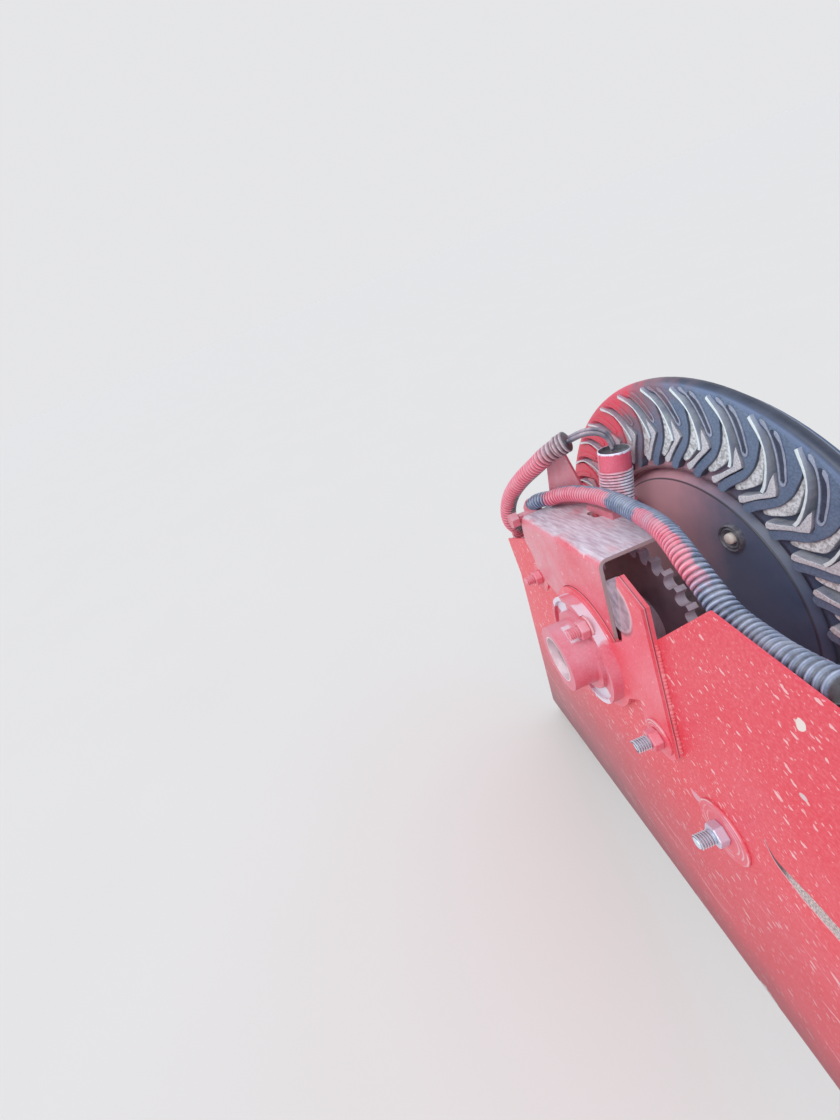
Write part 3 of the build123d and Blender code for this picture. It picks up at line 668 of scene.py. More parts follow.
def plate_marks(tree, color, height):
    """The dark seam between the two plates, a painted highlight along the outer plate's edge, and soil caked
    beside the finger with a painted highlight over it and painted shade under it.
    """
    depth = split(tree, place_of(tree))["Y"]
    facing = maths(tree, "ABSOLUTE", normal_of(tree)["Y"])
    on_edge = maths(tree, "LESS_THAN", facing, 0.5)
    seam = times(tree, on_edge, between(tree, depth, panel_face + seam_in, panel_face + seam_out, 0.0003))
    # Painted highlight: a pale line along the outer plate's edge.
    rim = times(tree, on_edge, between(tree, depth, panel_face + seam_out, panel_face + rim_out, 0.0003))
    color = over(tree, color, (0.7, 0.035, 0.06), on_edge, 0.35)
    color = over(tree, color, (0.8, 0.42, 0.46), rim, 0.6)
    color = over(tree, color, (0.12, 0.012, 0.02), seam, 0.9)
    outer = maths(tree, "GREATER_THAN", depth, panel_face + plate_t - 0.0001)
    # Painted highlight round the cake's upper side, and painted shade under it.
    cake_highlight = patch(tree, (shaft.x - 0.068, shaft.z + 0.1165), (0.0236, 0.029), 0.05)
    cake_shade = patch(tree, (shaft.x - 0.0685, shaft.z + 0.1115), (0.0232, 0.0285), 0.05)
    caked = times(tree, patch(tree, cake_spot, cake_halves, 0.08), outer)
    color = over(tree, color, (0.26, 0.06, 0.09), cake_shade, outer)
    color = over(tree, color, (0.84, 0.5, 0.56), cake_highlight, outer)
    color = blend(tree, caked, color, soil_tone(tree, noise(tree, 120.0, 4.0)))
    dip = maths(tree, "ADD", seam, times(tree, caked, 2.0))
    return color, minus(tree, height, dip)


plate_red = painted_steel(
    "plate_red", (0.82, 0.065, 0.1), (0.88, 0.15, 0.21), (0.84, 0.42, 0.48), 0.24, 0.1, 0.3, plate_marks)
dress("bearing_plate", plate_red)
weld_route = [
    (0.3075, 0.0412, 0.129), (0.301, 0.0412, 0.1), (0.2935, 0.0412, 0.068), (0.2855, 0.0412, 0.035),
    (0.2785, 0.0412, 0.009),
]
weld_r = 0.0016
weld_swell = 0.0009
weld_pitch = 0.0046


def weld_radius(here, share):
    """A row of overlapping pools."""
    swell = abs(cos(pi * here / weld_pitch + 0.9 * sin(here * 310))) ** 0.7
    return weld_r + weld_swell * swell, swell


weld_red = painted_steel(
    "weld_red", (0.66, 0.035, 0.06), (0.8, 0.1, 0.14), (0.9, 0.62, 0.64), 0.22, 0.3, 0.8)
bm = follow_route("weld", weld_route, weld_radius, step=0.0006, sides=10)
piece = keep("plate_weld", bm, weld_red, "frame")

# Packed soil: a hard grey cake wedged between the bracket's cut edge and the
# finger, level with the finger's face.
cake_t = 0.01
cake_back = panel_face - 0.002
cake_cuts = (
    # a spot on the cut, and the way that is cut off
    ((shaft.x - 0.056, 0, shaft.z + 0.128), (0.985, 0, -0.174)),
    ((shaft.x - 0.0716, 0, 0), (-1, 0, 0)),
)
caked_soil, tree, shader = new_material("caked_soil")
lumps = noise(tree, 120.0, 4.0)
color, roughness = dusted(tree, soil_tone(tree, lumps), (0.5, 0.4, 0.45), 0.2, 0.3, 80.0, 0.8)
finish_with(tree, shader, color, roughness, lumps, 0.4)
bm = bmesh.new()
cake_place = Matrix.Translation(Vector((cake_spot[0], cake_back, cake_spot[1])))
cake_place = cake_place @ Matrix.Rotation(-pi / 2, 4, "X") @ Matrix.Diagonal((*cake_halves, 1, 1))
bmesh.ops.create_circle(bm, cap_ends=True, radius=1.0, segments=64, matrix=cake_place)
for spot, normal in cake_cuts:
    every = bm.verts[:] + bm.edges[:] + bm.faces[:]
    bmesh.ops.bisect_plane(bm, geom=every, plane_co=spot, plane_no=normal, clear_outer=True)
made = bmesh.ops.extrude_face_region(bm, geom=bm.faces[:])["geom"]
bmesh.ops.translate(bm, verts=[g for g in made if isinstance(g, bmesh.types.BMVert)], vec=(0, cake_t, 0))
bmesh.ops.recalc_face_normals(bm, faces=bm.faces)
keep("soil_cake", bm, caked_soil, "frame", smooth=False)


# Top bracket: 4 mm sheet folded over the sprocket. Soil lies thick on its
# shelf, and its cut edge is bare and dusty.
def bracket_marks(tree, color, height):
    """Brushed dust on the shelf that ends raggedly over the fold, and a grey cut edge."""
    facing = normal_of(tree)
    brushed = node(tree, "Mapping", Vector=place_of(tree), Rotation=(0, 0, 0.5), Scale=(45, 330, 45))
    strokes = noise(tree, 1.0, 5.0, 0.6, where=brushed.outputs[0])
    drift = noise(tree, 30.0, 5.0)
    laid = steps(tree, maths(tree, "ADD", facing["Z"], uneven_by(tree, drift, 0.7)), (0.62, 0.0), (0.92, 1.0))
    streaked = steps(tree, strokes, (0.36, 0.0), (0.64, 1.0))
    dust = blend(tree, streaked, (0.52, 0.42, 0.5), (0.8, 0.77, 0.85))
    color = over(tree, color, dust, laid, 0.93)
    east = split(tree, place_of(tree))["X"]
    smeared = steps(tree, scaled(tree, drift, 0.1, east), (0.49, 0.0), (0.56, 0.55))
    wall = maths(tree, "GREATER_THAN", facing["Y"], 0.5)
    color = over(tree, color, (0.62, 0.56, 0.62), smeared, strokes, wall)
    cut = steps(tree, times(tree, facing["X"], -1.0), (0.8, 0.0), (0.9, 1.0))
    color = over(tree, color, (0.42, 0.36, 0.37), cut, 0.85)
    return color, scaled(tree, strokes, 0.5, height)


bracket_red = painted_steel(
    "bracket_red", (0.76, 0.08, 0.125), (0.8, 0.2, 0.26), (0.66, 0.5, 0.55), 0.14, 0.0, 0.22,
    bracket_marks)
dress("top_bracket", bracket_red)

# Bearing housing: cast iron, turned on the boss and flange and painted red.
# Dust lies in the ring round the boss and wherever the rim faces up.
rim_in = 0.0585
ring_in = 0.0475
ring_out = 0.0665
bore_r = 0.0275
boss_end = 0.1715
barrel_y = 0.122
rim_above = 0.046        # the dusty part of the rim, from the shaft's centre
rim_beside = 0.006
rim_edge = 400.0
crown_back = 0.149
crown_front = 0.159


def housing_marks(tree, color, height):
    """Thick pale dust in the ring and on the rim, and a dirty inside."""
    where = split(tree, vector_maths(tree, "SUBTRACT", place_of(tree), tuple(shaft)))
    radial = away_from(tree, shaft_spot)
    drift = noise(tree, 60.0, 5.0)
    uneven = uneven_by(tree, drift, 0.9)
    above = scaled(tree, uneven, 0.016, where["Z"])
    above = scaled(tree, above, rim_edge, -rim_edge * rim_above, clamp=True)
    near = scaled(tree, uneven, 0.016, where["X"])
    near = scaled(tree, near, -rim_edge, rim_edge * rim_beside, clamp=True)
    rim = times(tree, maths(tree, "GREATER_THAN", radial, rim_in), above, near)
    settled = steps(tree, maths(tree, "ADD", normal_of(tree)["Z"], uneven), (0.22, 0.0), (0.4, 1.0))
    ring = between(tree, radial, ring_in, ring_out, 0.001)
    side = patch(tree, (shaft.x + 0.045, shaft.z + 0.04), (0.018, 0.022), 0.6)
    low_side = patch(tree, (shaft.x - 0.034, shaft.z - 0.046), (0.03, 0.02), 0.6)
    crescents = times(tree, ring, maths(tree, "MAXIMUM", side, low_side))
    lying = maths(tree, "MAXIMUM", times(tree, rim, settled), crescents)
    crown = patch(tree, (shaft.x - 0.006, shaft.z + 0.038), (0.015, 0.006), 0.9)
    crown = times(tree, crown, between(tree, where["Y"], crown_back, crown_front, 0.002))
    lying = maths(tree, "MAXIMUM", lying, crown)
    boss_front = maths(tree, "GREATER_THAN", where["Y"], boss_end)
    color = over(tree, color, (0.62, 0.13, 0.2), boss_front, 0.3)
    color = over(tree, color, (0.76, 0.77, 0.86), lying, 0.92)
    hidden = maths(tree, "LESS_THAN", where["Y"], barrel_y)
    color = over(tree, color, (0.34, 0.26, 0.32), hidden, 0.85)
    bright = blend(tree, steps(tree, drift, (0.42, 0.0), (0.56, 1.0)), (0.74, 0.66, 0.7), (0.92, 0.9, 0.92))
    color = over(tree, color, bright, maths(tree, "LESS_THAN", radial, bore_r), 0.8)
    return color, scaled(tree, lying, 1.5, height)


housing_red = painted_steel(
    "housing_red", (0.72, 0.085, 0.14), (0.76, 0.22, 0.29), (0.76, 0.54, 0.62), 0.26, 0.35, 0.1,
    housing_marks)
dress("bearing_housing", housing_red)

# Bushings, shaft and its ring, hub, end washer and nut: turned steel and
# bronze, oily and dusty in the bore and at the wheel's middle.
oily_dust = (0.45, 0.34, 0.36)
for name, base, metal in (
    ("bushing_outer", (0.4, 0.27, 0.13), 0.9),
    ("bushing_inner", (0.4, 0.27, 0.13), 0.9),
    ("drive_shaft", (0.42, 0.36, 0.36), 0.8),
    ("shaft_ring", (0.5, 0.46, 0.48), 0.8),
    ("wheel_hub", (0.13, 0.1, 0.11), 0.3),
    ("end_washer", (0.35, 0.33, 0.32), 0.8),
    ("end_nut", (0.35, 0.33, 0.32), 0.8),
):
    dress(name, dusty_finish(name + "_finish", base, oily_dust, 0.5, 0.2, 60.0, 0.35, 160.0, 0.2, 5.0, metal))

# Bolts: studs with rolled threads, a hexagon nut and a wide washer each. The
# washers were sprayed with the frame, and two of the studs are bare.
thread_pitch = 0.0024
root_r = 0.0048
core_r = 0.0052
crest_r = 0.0066
nut_r = 0.019 / 3 ** 0.5
nut_t = 0.01
washer_t = 0.0024
stud_back = 0.002        # beyond the nut behind
thread_sunk = 0.001      # where the thread starts inside the nut
washer_edge = 0.0007     # how far the edges are rounded
nut_edge = 0.0011
stud_edge = 0.001


def bolt_piece(name, x, z, seat, stud, grip, washer, finishes):
    """Washer, nuts and a stud with a turned thread, as one fixing."""
    bm = bmesh.new()
    valley = bm.verts.layers.float.new("valley")
    facing = Matrix.Translation(Vector((x, 0, z))) @ Matrix.Rotation(-pi / 2, 4, "X")

    def disc(radius, low, high, sides, soften, slot):
        place = facing @ Matrix.Translation(Vector((0, 0, (low + high) / 2)))
        made = bmesh.ops.create_cone(
            bm, cap_ends=True, segments=sides, radius1=radius, radius2=radius, depth=high - low,
            matrix=place)
        faces = {f for v in made["verts"] for f in v.link_faces}
        for f in faces:
            f.material_index = slot
        edges = [e for e in {e for f in faces for e in f.edges} if e.calc_face_angle(0) > 0.5]
        bmesh.ops.bevel(bm, geom=edges, offset=soften, offset_type="OFFSET", segments=2, profile=0.5,
                        affect="EDGES", material=-1)

    disc(washer, seat, seat + washer_t, 48, washer_edge, 2)
    disc(nut_r, seat + washer_t, seat + washer_t + nut_t, 6, nut_edge, 1)
    disc(nut_r, seat - grip - nut_t, seat - grip, 6, nut_edge, 1)
    disc(core_r, seat - grip - stud_back, seat + stud, 20, stud_edge, 0)
    start = seat + washer_t + nut_t - thread_sunk
    turns = int((seat + stud - start) / thread_pitch)
    profile = ((root_r, 0.0), (crest_r, 0.35), (crest_r, 0.55), (root_r, 0.9))
    tooth = [bm.verts.new((x + r, start + share * thread_pitch, z)) for r, share in profile]
    tooth[0][valley] = tooth[-1][valley] = 1.0
    ends = [bm.edges.new(pair) for pair in zip(tooth, tooth[1:])]
    bmesh.ops.spin(
        bm, geom=tooth + ends, cent=(x, 0, z), axis=(0, 1, 0), dvec=(0, thread_pitch / 16, 0),
        angle=2 * pi * turns, steps=16 * turns)
    bmesh.ops.recalc_face_normals(bm, faces=bm.faces)
    piece = keep(name + "_detail", bm, finishes[0], "frame", smooth=False)
    for finish in finishes[1:]:
        piece.data.materials.append(finish)
    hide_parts(name)


def bare_steel(name, base, dust, amount):
    """Plated steel, dulled and dusty."""
    material, tree, shader = new_material(name, 0.55)
    color = blend(tree, chipped_by(tree, 0.4, 260.0, 0.35, 0.8), base, (0.86, 0.86, 0.9))
    deep = steps(tree, attribute(tree, "valley", "Fac"), (0.2, 0.0), (0.6, 1.0))
    color = blend(tree, deep, color, (0.13, 0.13, 0.18))
    color, roughness = dusted(tree, color, dust, amount, 0.2, 180.0, 0.32)
    finish_with(tree, shader, color, roughness, noise(tree, 400.0, 4.0), 0.3)
    return material


def washer_arcs(x, z, radii):
    """Pale arcs on a washer's rings: painted highlights."""
    def marks(tree, color, height):
        radial = away_from(tree, (x, z))
        seen = steps(tree, noise(tree, 55.0, 3.0), (0.42, 0.0), (0.55, 1.0))
        for radius in radii:
            arc = between(tree, radial, radius - 0.0006, radius + 0.0006, 0.0005)
            # Painted highlight along each ring, where the noise lets it show.
            color = over(tree, color, (0.8, 0.58, 0.62), arc, seen, 0.75)
        return color, height
    return marks


stud_steel = bare_steel("stud_steel", (0.7, 0.84, 0.94), (0.62, 0.66, 0.74), 0.25)
nut_steel = bare_steel("nut_steel", (0.66, 0.74, 0.88), (0.74, 0.5, 0.6), 0.6)
nut_red = painted_steel("nut_red", (0.76, 0.07, 0.12), (0.8, 0.2, 0.27), (0.78, 0.62, 0.7), 0.3, 0.45, 0.3)
flange_t = 0.008
plate_front = panel_face + plate_t
flange_front = plate_front + flange_t
for name, east, rise, seat, stud, grip, washer, thread, nut in (
    ("frame_bolt_near", -0.194, -0.061, panel_face, 0.028, 0.003, 0.028, stud_steel, nut_steel),
    ("frame_bolt_mid", -0.122, -0.012, plate_front, 0.026, 0.011, 0.018, stud_steel, nut_red),
    ("frame_bolt_far", 0.137, 0.009, panel_face, 0.025, 0.003, 0.021, nut_red, nut_red),
    ("housing_bolt_upper", -0.0221, 0.0547, flange_front, 0.024, 0.019, 0.013, nut_red, nut_red),
    ("housing_bolt_lower", 0.0221, -0.0547, flange_front, 0.024, 0.019, 0.013, nut_red, nut_red),
):
    x, z = shaft.x + east, shaft.z + rise
    arcs = washer_arcs(x, z, (washer * 0.97, washer * 0.8, washer * 0.64))
    washer_red = painted_steel(
        name + "_washer", (0.78, 0.07, 0.11), (0.8, 0.14, 0.19), (0.72, 0.42, 0.48), 0.12, 0.1, 0.15,
        arcs)
    bolt_piece(name, x, z, seat, stud, grip, washer, (thread, nut, washer_red))

# Sprocket: flame-cut steel with 30 teeth, brown with rust and chain oil. The side faces of its teeth are
# painted lighter, a painted highlight.
sprocket_finish, tree, shader = new_material("sprocket_steel", 0.2)
rust = noise(tree, 70.0, 6.0, 0.65)
flank = maths(tree, "LESS_THAN", maths(tree, "ABSOLUTE", normal_of(tree)["Y"]), 0.6)
flank = times(tree, flank, scaled(tree, rust, 0.9, 0.1))
color = blend(tree, rust, (0.11, 0.078, 0.112), (0.26, 0.185, 0.235))
# Painted highlight on the teeth's side faces.
color = blend(tree, flank, color, (0.84, 0.74, 0.84))
color, roughness = dusted(tree, color, (0.46, 0.38, 0.44), 0.22, 0.2, 50.0, 0.45)
finish_with(tree, shader, color, roughness, rust, 0.4)
dress("sprocket", sprocket_finish)

# Wheel disc: pressed steel, satin black under a bloom of red-brown dust on the side toward the frame's far
# end. The black and the bloom are painted lighter, as painted light where the panel and the ring shade the
# disc. A thin dark groove runs round it.
bloom_and_light, given, out = group(
    "bloom_and_painted_light", [("Color", COLOR, (0.05, 0.06, 0.09, 1)), ("Share", FLOAT, 1.0)], [("Color", COLOR)])


def two_coats(tree, reach, given, out, *coats):
    """A thin and a full tone by their reach, on faces that look out of the wheel's front."""
    front = scaled(tree, normal_of(tree)["Y"], 4.0, 1.2, clamp=True)
    color = given["Color"]
    for tone, *stops in coats:
        color = over(tree, color, tone, steps(tree, reach, *stops), front, given["Share"])
    tree.links.new(color, out["Color"])


reach = maths(
    bloom_and_light, "ADD", split(bloom_and_light, place_of(bloom_and_light))["X"],
    uneven_by(bloom_and_light, noise(bloom_and_light, 14.0, 6.0, 0.6), 0.1))
# The bloom's tones, painted lighter as painted light where the panel and the ring shade the disc.
mauve = ((0.13, 0.15, 0.225), (0.3, 0.0), (0.385, 1.0))
brown = ((0.6, 0.31, 0.36), (0.365, 0.0), (0.455, 1.0))
two_coats(bloom_and_light, reach, given, out, mauve, brown)
disc_dark = (0.038, 0.074, 0.145)
disc_pale = (0.068, 0.112, 0.2)
wheel_dust = (0.26, 0.28, 0.36)
groove_in = 0.1512
groove_out = 0.1528
disc_finish, tree, shader = new_material("disc_black")
smear = noise(tree, 60.0, 5.0)
color = placed(tree, bloom_and_light, Color=blend(tree, smear, disc_dark, disc_pale), Share=1.0)["Color"]
groove = between(tree, away_from(tree, shaft_spot), groove_in, groove_out, 0.0006)
color = over(tree, color, (0.008, 0.008, 0.012), groove, 0.85)
color, roughness = dusted(tree, color, wheel_dust, 0.16, 0.0, 16.0, 0.4)
finish_with(tree, shader, color, roughness, minus(tree, smear, groove), 0.25)
dress("wheel_disc", disc_finish)

# Lug ring: a moulded rubber tyre with 36 hooked lugs. Each lug has a dark J-shaped band with a groove, a
# dusty toe, a bright rib, partly scraped and partly painted highlight, and a hollow packed with soil. The
# groove is drawn as ridges in a painted highlight round a channel in painted shade.
lugs = 36
lug_turn = 2 * pi / lugs


def around(turn, radius):
    """X and Z on the wheel's face, turn in lug pitches and radius in millimetres."""
    reach, angle = radius * 0.001, turn * lug_turn
    return shaft.x - reach * sin(angle), shaft.z + reach * cos(angle)


def repeated(bm, count):
    """The mesh so far, repeated evenly round the wheel's axis."""
    bmesh.ops.spin(
        bm, geom=bm.verts[:] + bm.edges[:] + bm.faces[:], cent=tuple(shaft), axis=(0, 1, 0),
        angle=2 * pi * (count - 1) / count, steps=count - 1, use_duplicate=True)


def moulded(name, outline, low, high, soften, handles):
    """One outline raised from low to high with rounded edges, repeated round the wheel."""
    line = bpy.data.curves.new(name, "CURVE")
    line.dimensions = "2D"
    line.fill_mode = "BOTH"
    line.resolution_u = 3
    spline = line.splines.new("BEZIER")
    spline.bezier_points.add(len(outline) - 1)
    for point, (turn, radius) in zip(spline.bezier_points, outline):
        point.co = (*around(turn, radius), 0)
        point.handle_left_type = point.handle_right_type = handles
    spline.use_cyclic_u = True
    line.extrude = (high - low) / 2 - soften
    line.bevel_depth = soften
    line.bevel_resolution = 1
    line.offset = -soften
    carrier = bpy.data.objects.new(name, line)
    flat_mesh = bpy.data.meshes.new_from_object(carrier)
    bpy.data.objects.remove(carrier)
    bm = bmesh.new()
    bm.from_mesh(flat_mesh)
    bpy.data.meshes.remove(flat_mesh)
    bmesh.ops.remove_doubles(bm, verts=bm.verts, dist=0.00002)
    turned = Matrix(((1, 0, 0, 0), (0, 0, 1, (low + high) / 2), (0, 1, 0, 0), (0, 0, 0, 1)))
    bmesh.ops.transform(bm, matrix=turned, verts=bm.verts)
    bmesh.ops.recalc_face_normals(bm, faces=bm.faces)
    repeated(bm, lugs)
    return bm


# Red overspray on the tyre: heavy at the far upper side, a mist beyond it.
sprayed, given, out = group(
    "sprayed_rubber", [("Color", COLOR, (0.1, 0.12, 0.16, 1)), ("Share", FLOAT, 1.0)], [("Color", COLOR)])
east = minus(sprayed, split(sprayed, place_of(sprayed))["X"], shaft.x)
reach = scaled(sprayed, away_from(sprayed, shaft_spot), 5.0, -1.25)
reach = maths(sprayed, "ADD", reach, times(sprayed, east, 7.0))
reach = maths(sprayed, "ADD", reach, uneven_by(sprayed, noise(sprayed, 50.0, 5.0, 0.6), 0.9))
misted = ((0.28, 0.14, 0.17), (0.05, 0.0), (0.45, 0.8))
coated = ((0.76, 0.075, 0.125), (0.5, 0.0), (0.78, 1.0))
two_coats(sprayed, reach, given, out, misted, coated)


def rubber_finish(name, base, flank, dust, amount, share, roughness, bumpy=0.3, scale=500.0, dark=0.45):
    """Rubber or caked soil, with dust over it and red overspray at the far side; side faces take the flank
    colour, a painted shade.
    """
    material, tree, shader = new_material(name)
    fine = noise(tree, scale, 4.0)
    worn = steps(tree, fine, (0.4, 0.0), (0.62, 1.0))
    shade = blend(tree, worn, base, tuple(c * dark for c in base))
    # Painted shade: side faces darker than the tops.
    shade = blend(tree, steps(tree, normal_of(tree)["Y"], (0.45, 0.0), (0.75, 1.0)), flank, shade)
    color, rough = dusted(tree, shade, dust, amount, 0.0, 70.0, roughness)
    color = placed(tree, sprayed, Color=color, Share=share)["Color"]
    finish_with(tree, shader, color, rough, fine, bumpy, 0.0008)
    return material


band_finish = rubber_finish(
    "rubber_band", (0.15, 0.22, 0.345), (0.05, 0.072, 0.115), (0.34, 0.4, 0.52), 0.22, 1.0, 0.38,
    dark=0.7)
# Painted highlight on the groove's ridges, and painted shade on the dark channel between them.
ridge_highlight_finish = rubber_finish(
    "rubber_ridge_highlight", (0.34, 0.4, 0.54), (0.1, 0.13, 0.2), (0.6, 0.64, 0.74), 0.4, 0.9, 0.35, dark=0.7)
groove_shade_finish = rubber_finish(
    "rubber_groove_shade", (0.045, 0.062, 0.105), (0.03, 0.04, 0.07), (0.2, 0.24, 0.34), 0.2, 1.0, 0.35,
    dark=0.6)
toe_finish = rubber_finish(
    "dusty_toe", (0.72, 0.74, 0.8), (0.16, 0.18, 0.24), (0.8, 0.79, 0.8), 0.4, 0.4, 0.7, 0.6, 600.0, 0.62)
# The rib's near-white top is partly scraped wear and partly painted highlight.
rib_finish = rubber_finish(
    "scraped_and_highlit_rib", (0.86, 0.99, 1.0), (0.26, 0.3, 0.4), (0.92, 1.0, 1.0), 0.3, 0.14, 0.4, 0.3, 300.0,
    0.88)
soil_finish = rubber_finish(
    "packed_soil", (0.86, 0.9, 0.93), (0.4, 0.42, 0.46), (0.84, 0.84, 0.84), 0.4, 0.4, 0.9, 0.9, 420.0,
    0.42)

# The tyre's own face: dark between the lugs, blue-grey along the outer margin and black at the rim's edge,
# where the black is painted shade on the edge turning away.
base_finish, tree, shader = new_material("rubber_base")
across = times(tree, away_from(tree, shaft_spot), 2.0)
fine = noise(tree, 300.0, 4.0)
face_tone = blend(tree, fine, (0.07, 0.085, 0.13), (0.12, 0.145, 0.215))
margin_tone = blend(tree, fine, (0.14, 0.205, 0.35), (0.18, 0.25, 0.41))
inner_tone = blend(tree, fine, disc_dark, disc_pale)
face_tone = blend(tree, steps(tree, across, (0.356, 1.0), (0.384, 0.0)), face_tone, inner_tone)
color = blend(tree, steps(tree, across, (0.485, 0.0), (0.492, 1.0)), face_tone, margin_tone)
# Painted shade: black where the rim's edge turns away.
color = blend(tree, steps(tree, across, (0.5145, 0.0), (0.516, 1.0)), color, (0.018, 0.026, 0.05))
inward = steps(tree, across, (0.36, 1.0), (0.44, 0.0))
color = placed(tree, bloom_and_light, Color=color, Share=inward)["Color"]
color = placed(tree, sprayed, Color=color, Share=1.0)["Color"]
color, roughness = dusted(tree, color, wheel_dust, 0.18, 0.0, 40.0, 0.42)
finish_with(tree, shader, color, roughness, fine, 0.2)

ring_profile = [
    # radius and distance from the lugs' foot, along the wheel's axis
    (0.172, -0.017), (0.248, -0.017), (0.2555, -0.0135), (0.2595, -0.008), (0.26, -0.004),
    (0.259, -0.001), (0.257, 0.0004), (0.253, 0.0008), (0.248, 0.0002), (0.245, -0.0068),
    (0.178, -0.0072), (0.17, -0.0062), (0.164, -0.0068),
]


def turned_round(bm, corners, edges, centre, steps_round):
    """The profile spun once round an axis along Y and closed."""
    bmesh.ops.spin(
        bm, geom=corners + edges, cent=tuple(centre), axis=(0, 1, 0), angle=2 * pi, steps=steps_round,
        use_merge=True)
    bmesh.ops.remove_doubles(bm, verts=bm.verts, dist=0.00001)
    bmesh.ops.recalc_face_normals(bm, faces=bm.faces)


bm = bmesh.new()
corners = [bm.verts.new((shaft.x + r, shaft.y + y, shaft.z)) for r, y in ring_profile]
edges = [bm.edges.new(pair) for pair in zip(corners, corners[1:] + corners[:1])]
turned_round(bm, corners, edges, shaft, steps_round=144)
tyre = keep("tyre_ring", bm, base_finish, "wheel")
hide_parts("lug_ring")

# Outlines of one lug's parts: turn in lug pitches, radius in millimetres.
band = [
    (-0.5, 254.0), (-0.25, 249.0), (0.0, 240), (0.2, 230), (0.42, 217.5), (0.62, 207.5), (0.5, 199),
    (0.3, 189), (0.1, 179), (0.04, 172), (0.25, 169.5), (0.42, 178), (0.6, 187.5), (0.76, 197),
    (0.83, 206), (0.84, 218), (0.78, 228), (0.7, 238), (0.55, 246.0), (0.36, 251), (0.1, 254),
    (-0.2, 255),
]
groove_ridge = [
    (-0.42, 253.5), (-0.2, 248.5), (0.0, 241.5), (0.2, 232.5), (0.38, 223.5), (0.52, 217.5), (0.6, 218.0),
    (0.61, 221.5), (0.5, 229), (0.34, 238), (0.14, 247), (-0.06, 253.0), (-0.1, 252.2), (0.1, 246),
    (0.3, 237), (0.46, 228.0), (0.565, 221.0), (0.54, 219.6), (0.4, 225.0), (0.22, 234.0), (0.02, 243.0),
    (-0.19, 250.2), (-0.4, 255),
]
channel = [
    (-0.1, 251.8), (0.1, 245.5), (0.3, 236.5), (0.46, 227.5), (0.555, 221.2), (0.53, 220.2), (0.4, 225.6),
    (0.22, 234.6), (0.02, 243.6), (-0.17, 250.6),
]
toe = [
    (-0.17, 181), (-0.15, 178.0), (-0.06, 175.5), (0.04, 177.5), (0.2, 185.5), (0.38, 194.5), (0.52, 201),
    (0.62, 207.0), (0.55, 211.5), (0.42, 217), (0.3, 222.5), (0.31, 216), (0.35, 209), (0.38, 203.5),
    (0.34, 200.5), (0.22, 195), (0.08, 188.5),
]
rib = [
    (0.285, 201.2), (0.375, 202.0), (0.355, 207), (0.3, 212.5), (0.2, 220.3), (0.1, 227.3), (0.0, 233.2),
    (-0.12, 238.8), (-0.26, 244.2), (-0.4, 248.6), (-0.52, 252.2), (-0.585, 254.6), (-0.615, 251.6),
    (-0.5, 248.1), (-0.35, 244.1), (-0.21, 239.8), (-0.085, 235.0), (0.015, 229.0), (0.115, 222.0),
    (0.205, 214.4), (0.27, 206.8),
]
soil = [
    (-0.34, 239), (-0.3, 226), (-0.25, 216), (-0.22, 206), (-0.28, 198), (-0.48, 187), (-0.49, 183),
    (-0.42, 180), (-0.3, 181.5), (-0.1, 189), (0.04, 196), (0.12, 203.0), (0.08, 209), (-0.01, 217),
    (-0.09, 225), (-0.18, 233),
]
for name, outline, low, high, soften, finish, handles in (
    ("lug_bands", band, -0.0075, 0.001, 0.001, band_finish, "AUTO"),
    ("lug_grooves", groove_ridge, 0.0, 0.0019, 0.0003, ridge_highlight_finish, "AUTO"),
    ("lug_groove_shades", channel, 0.0, 0.0013, 0.0001, groove_shade_finish, "AUTO"),
    ("lug_toes", toe, -0.0075, 0.003, 0.0008, toe_finish, "VECTOR"),
    ("lug_ribs", rib, -0.0075, 0.0042, 0.0004, rib_finish, "VECTOR"),
    ("lug_soil", soil, -0.0085, -0.0015, 0.001, soil_finish, "AUTO"),
):
    bm = moulded(name, outline, shaft.y + low, shaft.y + high, soften, handles)
    piece = keep(name, bm, finish, "wheel", smooth=False)

# Cups: five black moulded cups with ringed walls, each round a cream plastic
# stud, on a circle near the middle of the disc.
cups = 5
cup_turn = radians(21.7)
cup_circle = 0.127
cup_seat = 0.005         # the disc's face behind the lugs' foot
cup_profile = [
    (0.005, 0.0012), (0.0085, 0.0012), (0.0088, 0.004), (0.0096, 0.0044), (0.0104, 0.004),
    (0.0107, 0.0022), (0.0118, 0.0022), (0.0121, 0.0046), (0.013, 0.005), (0.0138, 0.0044), (0.014, 0.0),
]
stud_profile = [(0.0, 0.007), (0.0036, 0.0068), (0.0051, 0.0058), (0.0055, 0.004), (0.0055, 0.0)]
cup_black = dusty_finish(
    "cup_black", (0.04, 0.042, 0.058), (0.42, 0.42, 0.48), 0.35, 0.2, 150.0, 0.35, 300.0, 0.2)
stud_cream = dusty_finish(
    "stud_cream", (0.74, 0.7, 0.64), (0.5, 0.44, 0.4), 0.4, 0.2, 150.0, 0.5, 300.0, 0.2)
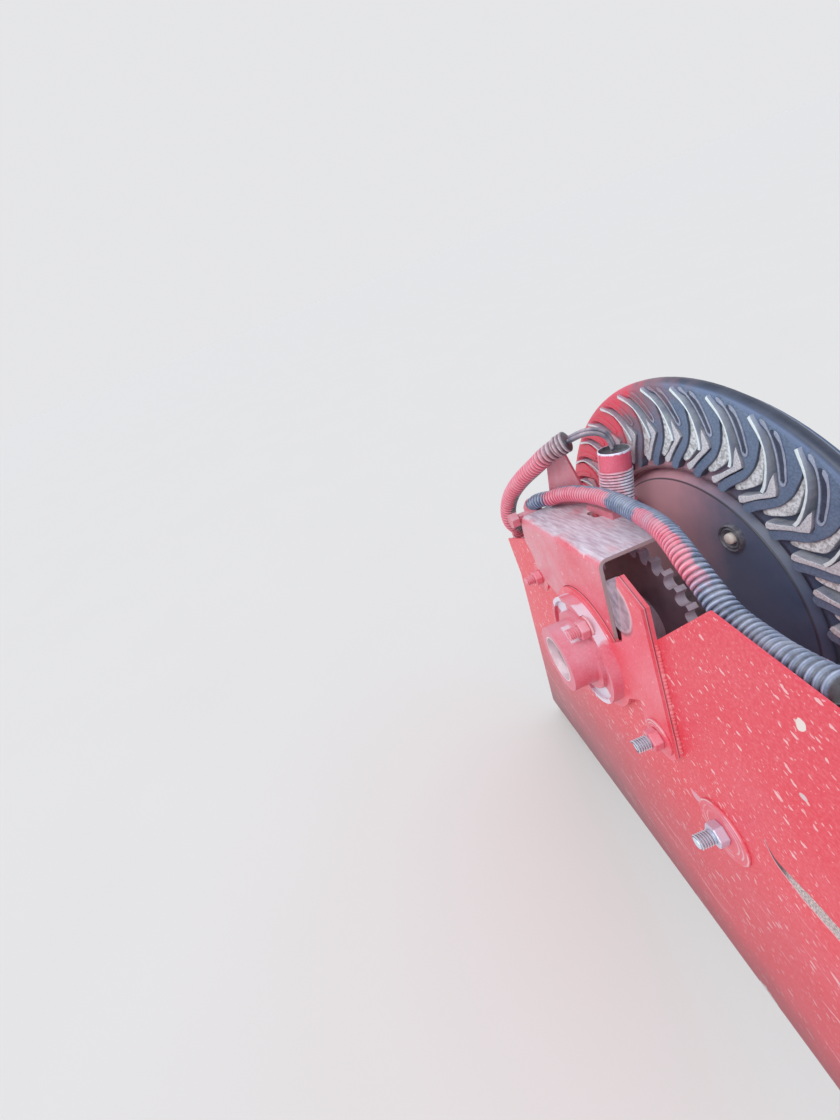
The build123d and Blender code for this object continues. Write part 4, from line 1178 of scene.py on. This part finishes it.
for name, profile, finish in (("cups", cup_profile, cup_black), ("studs", stud_profile, stud_cream)):
    bm = bmesh.new()
    centre = shaft + Vector((-cup_circle * sin(cup_turn), -cup_seat, cup_circle * cos(cup_turn)))
    corners = [bm.verts.new(centre + Vector((r, y, 0))) for r, y in profile]
    edges = [bm.edges.new(pair) for pair in zip(corners, corners[1:])]
    turned_round(bm, corners, edges, centre, steps_round=36)
    repeated(bm, cups)
    piece = keep(name, bm, finish, "wheel")
    if name == "cups":
        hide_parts("wheel_cups")

# Clips: bent steel straps, bolted or welded at the frame and painted with it.
# Two hold the long conduit, and one each the short and the thin one.
clip_red = painted_steel(
    "clip_red", (0.62, 0.08, 0.13), (0.7, 0.24, 0.3), (0.74, 0.62, 0.68), 0.25, 0.4, 0.3)
for name in ("clip_main_near", "clip_main_far", "clip_stub", "clip_thin"):
    dress(name, clip_red)

# Floor and light: a pale floor under the panel's foot, a soft even sky and one
# broad sun from above the panel's face.
floor_half = 40.0
floor_gap = 0.002
bm = bmesh.new()
bmesh.ops.create_grid(bm, x_segments=1, y_segments=1, size=floor_half)
bmesh.ops.translate(bm, verts=bm.verts, vec=(0.3, 0, cad_box[0][2] - floor_gap))
mesh = bpy.data.meshes.new("floor")
bm.to_mesh(mesh)
bm.free()
floor = bpy.data.objects.new("floor", mesh)
bpy.context.scene.collection.objects.link(floor)
pale, tree, shader = new_material("floor_pale")
shader.inputs["Roughness"].default_value = 0.85
floor_tone = blend(tree, noise(tree, 3.0), (0.72, 0.7, 0.67), (0.74, 0.72, 0.69))
tree.links.new(floor_tone, shader.inputs["Base Color"])
mesh.materials.append(pale)

world = bpy.data.worlds.new("studio")
bpy.context.scene.world = world
world.use_nodes = True
tree = world.node_tree
sky = tree.nodes["Background"]
seen = tree.nodes.new("ShaderNodeLightPath").outputs["Is Camera Ray"]
tree.links.new(blend(tree, seen, (0.7, 0.74, 0.82), (0.785, 0.788, 0.805)), sky.inputs["Color"])
sun = bpy.data.lights.new("sun", "SUN")
sun.energy = 1.5
sun.angle = radians(35)
sun.color = (1.0, 0.985, 0.96)
holder = bpy.data.objects.new("sun", sun)
bpy.context.scene.collection.objects.link(holder)
holder.rotation_euler = Vector((0.35, -0.75, -1.0)).to_track_quat("-Z", "Y").to_euler()

bpy.context.scene.view_settings.view_transform = "Standard"
